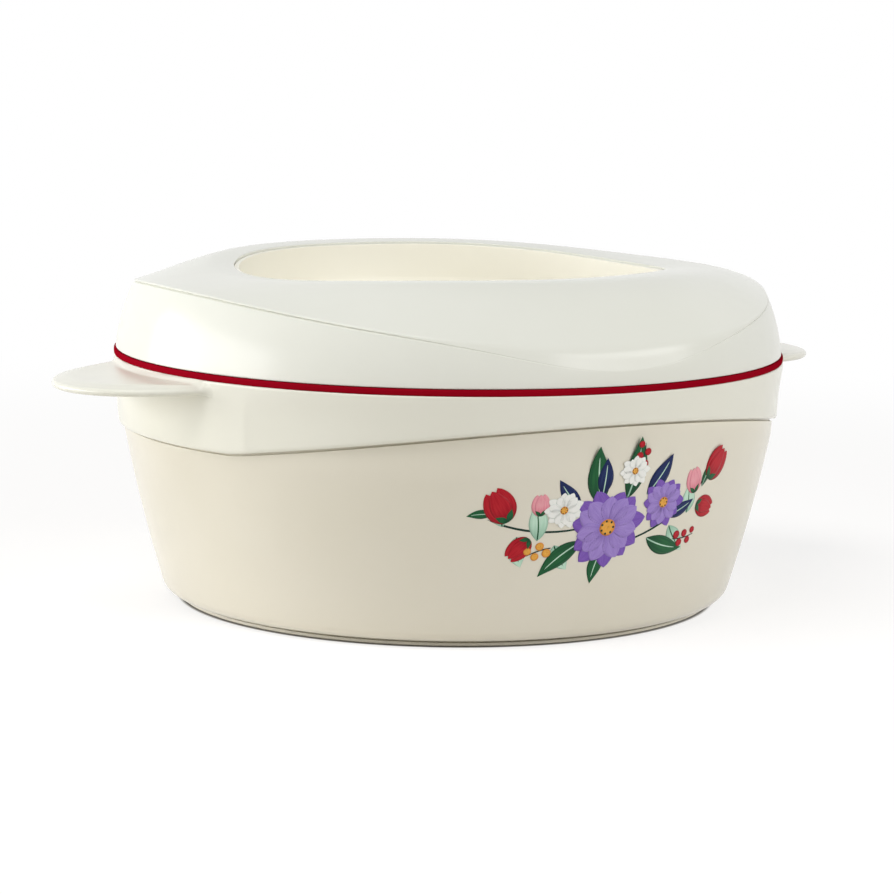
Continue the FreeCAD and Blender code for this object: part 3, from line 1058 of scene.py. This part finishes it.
@dataclass
class LidShell:
    """Outer skin of the lid: bowed wall, creased saddle roof and a round opening."""

    edge: float = 101.2
    edge_drop: float = 0.1
    wall: float = 2.2
    foot_radius: float = 134.4
    shoulder_radius: float = 125.2
    shoulder_height: float = 29.1
    wall_bulge: float = 1.7
    crease_high: float = 28.8
    crease_low: float = 13.3
    crease_inset: float = 0.7
    crease_sharp: float = 0.35
    crease_soft: float = 5.0
    crease_soft_power: float = 8.0
    groove_drop: float = 0.95
    groove_half: float = 0.4
    groove_depth: float = 0.9
    groove_fade: float = 3.5
    groove_shift: Pair = (1.64, 0.04)
    wall_stop: Pair = (1.8, 2.3)
    roof_start: float = 1.75
    lip_radius: float = 87.0
    lip_roll: float = 0.5
    crest_radius: float = 97.0
    crest_high: float = 35.6
    crest_low: float = 31.8
    crest_power: int = 4
    panel_power: float = 1.9
    panel_swing: float = 0.6
    hoop_wall: float = 1.8
    hoop_base: float = 121.0
    rows: tuple[int, int, int] = (16, 30, 8)
    row_ends: Pair = (0.12, 0.92)

    def wall_radius(self, height: Array) -> Array:
        """Outer radius of the bowed wall."""
        low, high = (self.foot_radius, self.edge), (self.shoulder_radius, self.edge + self.shoulder_height)
        return bowed_radius(height, low, high, self.wall_bulge)

    def crease(self, inset: float) -> Twin:
        """Radius and height of the crease, moved in by inset.

        Formula: seen from the side the crease is a parabola in y, high at the handles; its radius
        is the wall's at that height, so the two settle in a few rounds.

        Args:
            inset: distance inside the outer skin.

        Returns:
            Radii and heights.
        """
        low = self.edge + self.crease_low
        fall = (self.crease_high - self.crease_low) / self.wall_radius(low) ** 2
        height = np.full(ANGLE_STEPS, low)
        for _ in range(SETTLING_ROUNDS):
            height = self.edge + self.crease_high - fall * (self.wall_radius(height) * np.sin(ANGLES)) ** 2
        height = height - self.crease_inset * inset
        return self.wall_radius(height) - inset, height

    def crest(self) -> Array:
        """Height of the roof's crest: low at the handles, high at front and back."""
        dip = (self.crest_high - self.crest_low) * np.cos(ANGLES) ** self.crest_power
        return self.edge + self.crest_high - dip

    def roof(self, share: Array, inset: float) -> Twin:
        """Radius and height on the roof: it falls from the crest as a power of the share.

        Args:
            share: 0 at the crest, 1 at the crease.
            inset: distance inside the outer skin.

        Returns:
            Radii and heights.
        """
        radius, height = self.crease(inset)
        crest, run = self.crest() - inset, radius - self.crest_radius
        power = self.panel_power + self.panel_swing * np.cos(ANGLES)
        return self.crest_radius + run * share, crest - (crest - height) * share ** power

    def stations(self) -> list[tuple]:
        """Section of the skin: foot, wall, crease, roof, lip, hoop, and back inside.

        Returns:
            Stations (radius, height, cut).
        """
        radius, height = self.crease(0.0)
        soft = np.abs(np.sin(ANGLES)) ** self.crease_soft_power
        cut = self.crease_sharp + (self.crease_soft - self.crease_sharp) * soft
        stop = self.wall_stop[0] * cut * soft + self.wall_stop[1] * self.groove_drop * (1 - soft)
        last = 1 - stop / (height - self.edge)
        foot = self.edge - self.edge_drop
        stations = [(self.wall_radius(self.edge), foot, 0.5)]
        for share in np.linspace(self.row_ends[0], 1, self.rows[0]):
            at = self.edge + (height - self.edge) * last * share
            stations.append((self.wall_radius(at), at, 0))
        fade = 1 - np.abs(np.sin(ANGLES)) ** self.groove_fade
        for side, depth in ((1, 0), (0, self.groove_depth), (-1, 0)):
            drop = (self.groove_drop + side * self.groove_half) * (1 - soft)
            groove = height - drop - (self.groove_shift[0] + self.groove_shift[1] * side) * cut * soft
            stations.append((self.wall_radius(groove) - depth * fade, groove, 0.12))
        first = 1 - self.roof_start * cut / (radius - self.crest_radius)
        lip, outer = self.lip_radius, self.lip_radius + self.hoop_wall
        run, roll = self.crest_radius - lip, self.lip_roll
        crest, lip_top = self.crest(), self.crest() - self.lip_roll
        rolls = np.linspace(*self.row_ends, self.rows[2])
        return [
            *stations, (radius, height, cut),
            *((*self.roof(first * share, 0.0), 0) for share in np.linspace(1, 0, self.rows[1])),
            *((self.crest_radius - run * share, crest - roll * share ** 2, 0) for share in rolls),
            (lip, lip_top, 0.5), (lip, self.hoop_base, 0.4),
            (outer, self.hoop_base, 0.4), (outer, lip_top - self.wall, 0.4),
            *((*self.roof(share, self.wall), 0) for share in (0.0, 0.3, 0.55, 0.75, 0.9)),
            (*self.crease(self.wall), 1.0), (self.wall_radius(self.edge) - self.wall, foot, 0.5),
        ]

    def build(self, dresser: Dresser) -> None:
        """Builds the skin."""
        piece = turned_piece("lid_outer_shell", self.stations(), True, 8)
        dresser.dress(piece, LID_CREAM, "lid", "lid_shell")


@dataclass
class LidDish:
    """Ivory dish set into the lid's opening."""

    wall: float = 1.8
    radius: float = 86.85
    draft: float = 8.0
    floor: float = 111.5
    corner: float = 9.0
    rim_below_lip: float = 0.9

    def build(self, dresser: Dresser, shell: LidShell) -> None:
        """Inside from the middle up to the saddle rim, then down the outside.

        Args:
            dresser: gives the finish.
            shell: the lid's skin, whose lip the rim follows.
        """
        rim, base = shell.crest() - shell.lip_roll - self.rim_below_lip, shell.hoop_base
        inner = self.radius - self.wall
        inside = cup_stations(inner, self.draft, self.floor, base, self.corner - self.wall)
        outside = cup_stations(self.radius, self.draft, self.floor - self.wall, base, self.corner)
        inside[-1], outside[-1] = (inner, base, 3.0), (self.radius, base, 2.0)
        stations = [*inside, (inner, rim, 0.5), (self.radius, rim, 0.4), *outside[::-1]]
        piece = turned_piece("lid_ivory_dish", stations, False)
        dresser.dress(piece, DISH_IVORY, "lid", "lid_dish")


@dataclass
class LidLiner:
    """White pan that closes the lid's underside."""

    wall: float = 1.8
    flange: float = 104.5
    floor: float = 95.5
    deck: float = 102.0
    edge_radius: float = 131.5
    mouth: float = 109.6
    draft: float = 12.0
    corner: float = 3.0
    rib_radius: float = 122.0
    rib_width: float = 2.5
    hole: float = 7.0

    def build(self, dresser: Dresser) -> None:
        """Section: hole, pan's underside, flange with its seat rib, edge, and back on top.

        Args:
            dresser: gives the finish.
        """
        lean = math.tan(math.radians(self.draft))
        top, low = self.flange + self.wall, self.flange
        mouth = self.mouth + (top - self.deck) * lean
        under = cup_stations(mouth, self.draft, self.floor, top, self.corner)
        inner = cup_stations(mouth - self.wall, self.draft, self.floor + self.wall, top, self.corner)
        rib_in = self.rib_radius - self.rib_width
        stations = [
            (self.hole, self.floor, 0.3),
            *(station for station in under if station[0] > self.hole and station[1] < low - 1.5),
            (mouth - (top - low) * lean, low, 0.8),
            (rib_in, low, 0.5), (rib_in, self.deck, 0.6),
            (self.rib_radius, self.deck, 0.6), (self.rib_radius, low, 0.5),
            (self.edge_radius, low, 0.4), (self.edge_radius, top, 0.4), (mouth - self.wall, top, 0.8),
            *(station for station in inner[-2::-1] if station[0] > self.hole),
            (self.hole, self.floor + self.wall, 0.3),
        ]
        piece = turned_piece("lid_white_liner", stations, True)
        dresser.dress(piece, LINER_WHITE, "lid", "lid_liner")
        dresser.dress_node("lid_foam", FOAM_BUFF)
        dresser.dress_node("lid_foam_plug", PLUG_WHITE)


# ------------------------------------------------------------------ printed spray

class Ink(Enum):
    """Inks of the printed flower spray: colour, heart, streak and edge."""

    VIOLET = (0.19, 0.09, 0.44), (0.08, 0.03, 0.25), (0.28, 0.16, 0.56), (0.13, 0.05, 0.35)
    LILAC = (0.33, 0.22, 0.60), (0.18, 0.10, 0.42), (0.46, 0.35, 0.72), (0.22, 0.13, 0.48)
    RED = (0.42, 0.006, 0.018), (0.18, 0.0, 0.008), (0.62, 0.03, 0.04), (0.15, 0.0, 0.005)
    PINK = (0.80, 0.30, 0.36), (0.58, 0.06, 0.12), (0.90, 0.52, 0.55), (0.62, 0.12, 0.2)
    GREEN = (0.01, 0.085, 0.034), (0.004, 0.035, 0.02), (0.03, 0.17, 0.05), (0.004, 0.035, 0.02)
    MINT = (0.50, 0.74, 0.58), (0.16, 0.38, 0.26), (0.68, 0.86, 0.74), (0.05, 0.2, 0.13)
    NAVY = (0.01, 0.016, 0.085), (0.004, 0.006, 0.04), (0.02, 0.05, 0.15), (0.004, 0.005, 0.03)
    WHITE = (0.90, 0.91, 0.87), (0.60, 0.66, 0.60), (0.95, 0.95, 0.93), (0.42, 0.5, 0.45)
    GOLD = (0.78, 0.34, 0.05), (0.55, 0.12, 0.02), (0.88, 0.55, 0.12), (0.5, 0.1, 0.02)
    LINE = (0.008, 0.035, 0.025), (0.006, 0.03, 0.02), (0.015, 0.05, 0.035), (0.006, 0.02, 0.015)


@dataclass(frozen=True)
class Motif:
    """One flat shape of the spray: grids of points (u, v) and their ink map, with its layer."""

    ink: Ink
    layer: int
    place: Array
    chart: Array


def blade(
    base: Pair, heading: float, length: float, width: float, bend: float, fullness: float, tip: float,
) -> Twin:
    """Petal or leaf: a width carried along a bent line.

    Formula: at share s the line heads at heading plus bend times s, and the half width is
    width/2 times sin(pi s^fullness)^tip.

    Args:
        base: foot of the shape.
        heading: direction at the foot, in degrees.
        length: length of the line.
        width: greatest width.
        bend: turn along the line, in degrees.
        fullness: below 1 the widest place lies near the foot, above 1 near the tip.
        tip: below 1 the ends are blunt, above 1 pointed.

    Returns:
        (rows, columns, 2) places and ink map.
    """
    share = np.linspace(0, 1, BLADE_STEPS + 1)
    direction = np.radians(heading + bend * share)
    middle = (direction[1:] + direction[:-1]) / 2
    x, y = (start + np.append(0, np.cumsum(turn(middle))) * length / BLADE_STEPS
            for start, turn in zip(base, (np.cos, np.sin)))
    half = width / 2 * np.maximum(np.sin(math.pi * share ** fullness), 0.0) ** tip + THINNEST
    across = np.linspace(-1, 1, BLADE_COLUMNS)[:, None]
    places = np.stack([x - np.sin(direction) * half * across, y + np.cos(direction) * half * across], -1)
    return places, np.stack(np.broadcast_arrays(across / 2 + 0.5, share[None]), -1)


def dot(centre: Pair, radius: float) -> Twin:
    """Round spot: circles of growing radius round a centre, the ink map running outwards.

    Args:
        centre: middle of the spot.
        radius: its radius.

    Returns:
        (rows, columns, 2) places and ink map.
    """
    share, angle = np.linspace(THINNEST, 1, DOT_RINGS)[:, None], np.linspace(0, TURN, DOT_STEPS + 1)
    x, y = (start + radius * share * turn(angle) for start, turn in zip(centre, (np.cos, np.sin)))
    chart = np.broadcast_arrays(0.5 + 0.3 * np.sin(angle * 3), 1 - share * 0.9)
    return np.stack([x, y], -1), np.stack(chart, -1)


@dataclass
class FlowerSpray:
    """Printed spray on the front of the body, laid on the leaning wall as thin films."""

    shell: OuterShell
    centre_angle: float = -90.0
    centre_height: float = 50.0
    lift: float = 0.05
    layer_step: float = 0.012
    film: float = 0.03
    petal_width: float = 0.46
    petal_shape: Pair = (1.45, 0.8)
    petal_bend: float = 14.0
    front_size: float = 0.84
    heart_size: float = 0.2
    seeds: int = 7
    seed_ring: float = 0.15
    seed_size: float = 0.028
    sprig_bend: float = 24.0
    berry_off: float = 1.7
    motifs: list[Motif] = field(default_factory=list)

    def add(self, ink: Ink, layer: int, shape: Twin) -> None:
        """Keeps one shape in its ink and layer."""
        self.motifs.append(Motif(ink, layer, *shape))

    def daisy(
        self, centre: Pair, radius: float, petals: int, inks: tuple[Ink, Ink], layer: int, turn: float,
    ) -> None:
        """Daisy: two rings of narrow petals round a gold heart with dark dots.

        Args:
            centre: place of the heart.
            radius: from the heart to the petals' tips.
            petals: petals in each ring.
            inks: inks of the back and the front ring.
            layer: lowest layer.
            turn: first petal's direction in degrees.
        """
        for ring, (ink, size) in enumerate(zip(inks, (1.0, self.front_size))):
            for number in range(petals):
                heading = turn + (number + ring * 0.5) * 360 / petals
                bend = self.petal_bend * math.sin(number * 2.4 + ring)
                length = radius * size * (0.94 + 0.06 * math.cos(number * 1.7))
                width = radius * self.petal_width
                self.add(ink, layer + ring, blade(centre, heading, length, width, bend, *self.petal_shape))
        self.add(Ink.GOLD, layer + 2, dot(centre, radius * self.heart_size))
        for angle in np.arange(self.seeds) * TURN / self.seeds:
            reach = radius * self.seed_ring
            spot = (centre[0] + reach * math.cos(angle), centre[1] + reach * math.sin(angle))
            self.add(Ink.LINE, layer + 3, dot(spot, radius * self.seed_size))

    def tulip(self, base: Pair, heading: float, size: float, ink: Ink) -> None:
        """Tulip: two side petals, a middle petal and a small calyx.

        Args:
            base: foot of the flower.
            heading: direction of the flower in degrees.
            size: length of its petals.
            ink: ink of its petals.
        """
        for petal, layer, turn, length, width, bend, fullness, tip in (
            (ink, 7, -26, 1, 0.5, 34, 0.85, 0.75), (ink, 7, 26, 1, 0.5, -34, 0.85, 0.75),
            (ink, 8, 0, 0.96, 0.52, 0, 0.85, 0.75),
            (Ink.GREEN, 9, -40, 0.36, 0.16, 0, 0.8, 1.1), (Ink.GREEN, 9, 40, 0.36, 0.16, 0, 0.8, 1.1),
        ):
            shape = blade(base, heading + turn, size * length, size * width, bend, fullness, tip)
            self.add(petal, layer, shape)

    def stroke(
        self, start: Pair, heading: float, length: float, bend: float, width: float, layer: int = 0,
    ) -> None:
        """Tapering line used for stems and tendrils."""
        self.add(Ink.LINE, layer, blade(start, heading, length, width, bend, 0.6, 0.35))

    def leaf(
        self, ink: Ink, layer: int, base: Pair, heading: float, length: float, width: float, bend: float,
    ) -> None:
        """Leaf with a midrib in the other green."""
        self.add(ink, layer, blade(base, heading, length, width, bend, 0.85, 1.0))
        self.add(Ink.GREEN if ink is Ink.MINT else Ink.MINT, layer + 1,
                 blade(base, heading, length * 0.82, width * 0.07, bend * 0.82, 0.5, 0.3))

    def berries(self, start: Pair, heading: float, count: int, ink: Ink) -> None:
        """Sprig of berries set in turn on both sides of a stem.

        Args:
            start: foot of the stem.
            heading: its direction in degrees.
            count: number of berries.
            ink: their ink.
        """
        self.stroke(start, heading, count * 2.5, self.sprig_bend, 0.45, 7)
        for number in range(count):
            angle = math.radians(heading + self.sprig_bend * (number + 1) / count * 0.5)
            off, reach = self.berry_off * (-1) ** (number + 1), 2.0 + number * 2.35
            spot = (start[0] + reach * math.cos(angle) + off * math.sin(angle),
                    start[1] + reach * math.sin(angle) - off * math.cos(angle))
            self.add(ink, 8, dot(spot, 1.75 - number * 0.09))

    def compose(self) -> None:
        """Lays out the whole spray, in millimetres from its centre."""
        self.stroke((-50, 2), -24, 56, 50, 0.8)
        self.stroke((4, -10), 10, 56, 44, 0.8)
        for ink, layer, x, y, heading, length, width, bend in (
            (Ink.MINT, 1, -44, -1, 104, 13, 7.4, 24), (Ink.MINT, 1, -38, -5, -88, 13, 7.4, 24),
            (Ink.MINT, 1, -30, -7, 88, 16, 7.4, 24), (Ink.MINT, 1, -23, -9, -70, 12, 7.4, 24),
            (Ink.MINT, 1, 28, -5, -62, 15, 7.4, 24), (Ink.MINT, 1, 37, -1, 84, 12, 7.4, 24),
            (Ink.GREEN, 3, -6, 6, 106, 24, 9.5, -16), (Ink.GREEN, 3, 5, 8, 72, 25, 9.0, 20),
            (Ink.GREEN, 3, -12, -8, 208, 21, 7.4, 26), (Ink.GREEN, 3, 17, -9, -30, 21, 7.6, 26),
            (Ink.GREEN, 3, -3, -12, -112, 14, 6.0, 20), (Ink.GREEN, 3, 44, 9, 74, 13, 4.2, -30),
            (Ink.GREEN, 3, -48, 4, 172, 10, 3.6, 24),
            (Ink.NAVY, 5, 14, 9, 46, 19, 7.4, 18), (Ink.NAVY, 5, -14, 5, 138, 16, 6.0, -16),
            (Ink.NAVY, 5, 26, -1, 12, 15, 5.4, 20), (Ink.NAVY, 5, -6, 10, 84, 15, 6.5, 10),
        ):
            self.leaf(ink, layer, (x, y), heading, length, width, bend)
        for x, y, heading, size, ink in (
            (-42, 1, 122, 15.0, Ink.RED), (-33, -6, 228, 11.0, Ink.RED), (-30, 3, 96, 9.0, Ink.PINK),
            (47, 12, 52, 15.0, Ink.RED), (40, 7, 104, 11.0, Ink.PINK), (42, 2, -14, 11.5, Ink.RED),
        ):
            self.tulip((x, y), heading, size, ink)
        self.berries((8, 18), 66, 5, Ink.RED)
        self.berries((-24, -10), 186, 4, Ink.GOLD)
        self.berries((31, -11), -8, 5, Ink.RED)
        self.daisy((-2, -3), 17.0, 11, (Ink.VIOLET, Ink.LILAC), 10, 10)
        self.daisy((23, 5), 11.0, 10, (Ink.VIOLET, Ink.LILAC), 10, 0)
        self.daisy((-21, 5), 8.0, 9, (Ink.WHITE, Ink.WHITE), 10, 22)
        self.daisy((7, 19), 7.0, 8, (Ink.WHITE, Ink.WHITE), 14, 5)

    def laid(self, motif: Motif) -> Surface:
        """One motif of the flat drawing on the wall.

        Formula: v climbs the leaning wall, and u is the arc length round it at that height; the
        film stands off along the wall's outward direction by its layer.

        Args:
            motif: the flat shape.

        Returns:
            Points, and faces that look outwards.
        """
        low, high = self.shell.corner_end(), self.shell.waist
        slope = math.atan2(high[0] - low[0], high[1] - low[1])
        off = self.lift + self.layer_step * motif.layer
        height = self.centre_height + motif.place[..., 1] * math.cos(slope)
        radius = self.shell.wall_radius(height)
        angle = math.radians(self.centre_angle) + motif.place[..., 0] / radius
        radius, height = radius + off * math.cos(slope), height - off * math.sin(slope)
        points = np.stack([radius * np.cos(angle), radius * np.sin(angle), height], -1).reshape(-1, 3)
        quads = grid_faces(*motif.place.shape[:2], False, False)
        corners = points[quads[:, :3]]
        normal = np.cross(corners[:, 1] - corners[:, 0], corners[:, 2] - corners[:, 0]).sum(0)
        outward = normal @ (corners[:, 0].mean(0) * [1, 1, 0]) > 0
        return points, [quads if outward else quads[:, ::-1]]

    def build(self, dresser: Dresser) -> None:
        """One film object for each ink.

        Args:
            dresser: gives the finish.
        """
        self.compose()
        for ink in Ink:
            chosen = [motif for motif in self.motifs if motif.ink is ink]
            surface = joined([self.laid(motif) for motif in chosen])
            item = make_object("print_" + ink.name.lower(), *surface, False)
            charts = np.vstack([motif.chart.reshape(-1, 2) for motif in chosen])
            loops = np.zeros(len(item.data.loops), np.int32)
            item.data.loops.foreach_get("vertex_index", loops)
            layer = item.data.uv_layers.new(name="ink")
            layer.data.foreach_set("uv", charts[loops].astype(np.float32).ravel())
            thick = item.modifiers.new("film", "SOLIDIFY")
            thick.thickness, thick.offset = self.film * MM, -1.0
            dresser.dress(item, InkFinish("ink_" + ink.name.lower(), *ink.value), "body")


# ------------------------------------------------------------------ studio

@dataclass
class Studio:
    """Pale floor, white surroundings, soft lamps and the camera."""

    camera_place: Triple = (-600.45, -1070.0, 246.0)
    camera_target: Triple = (0.0, 0.0, 59.56)
    camera_roll: float = 0.0149
    lens: float = 122.42
    sensor: float = 36.0
    clip: Pair = (0.05, 60.0)
    surround: float = 0.12
    floor_size: float = 6.0
    floor_colour: Colour = (0.82, 0.80, 0.765)
    floor_seen: Colour = (0.30, 0.29, 0.28)
    floor_glow: float = 0.765
    floor_fade: Pair = (0.3, 0.8)
    # Radii in metres across which the floor's glow comes back; inside them the floor seen by the camera is
    # painted dark as contact shade.
    painted_contact_shade: Pair = (0.1084, 0.1104)
    lamp_target: Triple = (0.0, 0.0, 70.0)
    lamp_distance: float = 1.5

    def place_camera(self) -> None:
        """Camera on its line of sight, turned a little about it."""
        data = bpy.data.cameras.new("camera")
        data.lens, data.sensor_width = self.lens, self.sensor
        data.clip_start, data.clip_end = self.clip
        item = linked("camera", data)
        place = Vector(self.camera_place) * MM
        ahead = (Vector(self.camera_target) * MM - place).normalized()
        right = ahead.cross(Vector((0, 0, 1))).normalized()
        up = right.cross(ahead)
        cosine, sine = math.cos(self.camera_roll), math.sin(self.camera_roll)
        rotation = Matrix((right * cosine + up * sine, up * cosine - right * sine, -ahead)).transposed()
        item.matrix_world = Matrix.Translation(place) @ rotation.to_4x4()
        bpy.context.scene.camera = item

    @staticmethod
    def direct_rays(graph: Graph) -> Socket:
        """1 on rays from the camera, mirrored or passed on, and 0 on scattered light.

        Args:
            graph: the graph.

        Returns:
            The value's socket.
        """
        seen = graph.node("LightPath").outputs
        rays = graph.calc("MAXIMUM", seen["Is Camera Ray"], seen["Is Glossy Ray"])
        return graph.calc("MAXIMUM", rays, seen["Is Transmission Ray"])

    def make_floor(self) -> None:
        """Wide floor that lights itself a little towards the camera and keeps the shadow, but leaves its
        glow out in a narrow ring round the foot, which paints a dark contact shade there on top of the real
        shadow.
        """
        half = self.floor_size / MM / 2
        corners = np.array([[-half, -half, 0], [half, -half, 0], [half, half, 0], [-half, half, 0]])
        floor = make_object("floor", corners, [np.array([[0, 1, 2, 3]])], False)
        floor.data.materials.append(bpy.data.materials.new("floor_paper"))
        graph = node_graph(floor.data.materials[0])
        rays = self.direct_rays(graph)
        away = graph.node("VectorMath", {0: graph.place()}, operation="LENGTH").outputs["Value"]
        # Painted contact shade: no glow within the inner radius round the foot, so the floor seen there
        # shows only its dark camera colour and the real shadow.
        strength = graph.times(rays, graph.span(away, *self.painted_contact_shade, 0.0, self.floor_glow))
        fade = graph.times(rays, graph.span(away, *self.floor_fade))
        paper = graph.node("BsdfDiffuse", {"Color": graph.blend(rays, self.floor_colour, self.floor_seen)})
        glow, white = graph.node("Emission", {"Strength": strength}), graph.node("Emission")
        both = graph.node("AddShader", {0: paper.outputs[0], 1: glow.outputs[0]})
        graph.result("Material", graph.node("MixShader", {0: fade, 1: both.outputs[0], 2: white.outputs[0]}))

    def light_world(self) -> None:
        """White surroundings: full strength where seen or mirrored, softer as light."""
        world = bpy.data.worlds.new("surroundings")
        graph = node_graph(world)
        strength = graph.calc("ADD", graph.times(self.direct_rays(graph), 1 - self.surround), self.surround)
        sky = graph.node("Background", {"Strength": strength, "Color": (1.0, 1.0, 1.0, 1.0)})
        graph.result("World", sky)
        bpy.context.scene.world = world

    def lamp(self, name: str, azimuth: float, elevation: float, size: Pair, power: float) -> None:
        """Soft rectangular lamp aimed at the middle of the object.

        Args:
            name: lamp name.
            azimuth: degrees round the axis from +X.
            elevation: degrees above the floor.
            size: width and height in metres.
            power: watts.
        """
        data = bpy.data.lights.new(name, "AREA")
        data.shape, data.energy = "RECTANGLE", power
        data.size, data.size_y = size
        item = linked(name, data)
        a, e = math.radians(azimuth), math.radians(elevation)
        out = Vector((math.cos(a) * math.cos(e), math.sin(a) * math.cos(e), math.sin(e)))
        item.location = Vector(self.lamp_target) * MM + out * self.lamp_distance
        item.rotation_mode = "QUATERNION"
        item.rotation_quaternion = out.to_track_quat("Z", "Y")

    def build(self) -> None:
        """Sets the whole stage."""
        self.make_floor()
        self.light_world()
        self.lamp("left_softbox", -206.5, 7.0, (1.6, 0.6), 17.7)
        self.lamp("right_softbox", -57.5, 22.5, (1.3, 0.45), 10.8)
        self.lamp("top_softbox", -159.3, 62.0, (1.0, 0.7), 12.1)
        self.place_camera()
        bpy.context.scene.view_settings.view_transform = "Standard"


def main() -> None:
    """Builds every sub-assembly in order."""
    logging.basicConfig(level=logging.INFO, format="%(name)s: %(message)s")
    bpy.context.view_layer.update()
    dresser = Dresser()
    shell, collar = OuterShell(), HandleCollar()
    shell.build(dresser, collar.skirt_edge(ANGLES))
    SteelBowl().build(dresser)
    TrimRing().build(dresser)
    collar.build(dresser)
    lid = LidShell()
    lid.build(dresser)
    LidDish().build(dresser, lid)
    LidLiner().build(dresser)
    FlowerSpray(shell).build(dresser)
    Studio().build()


if __name__ == "__main__":
    main()
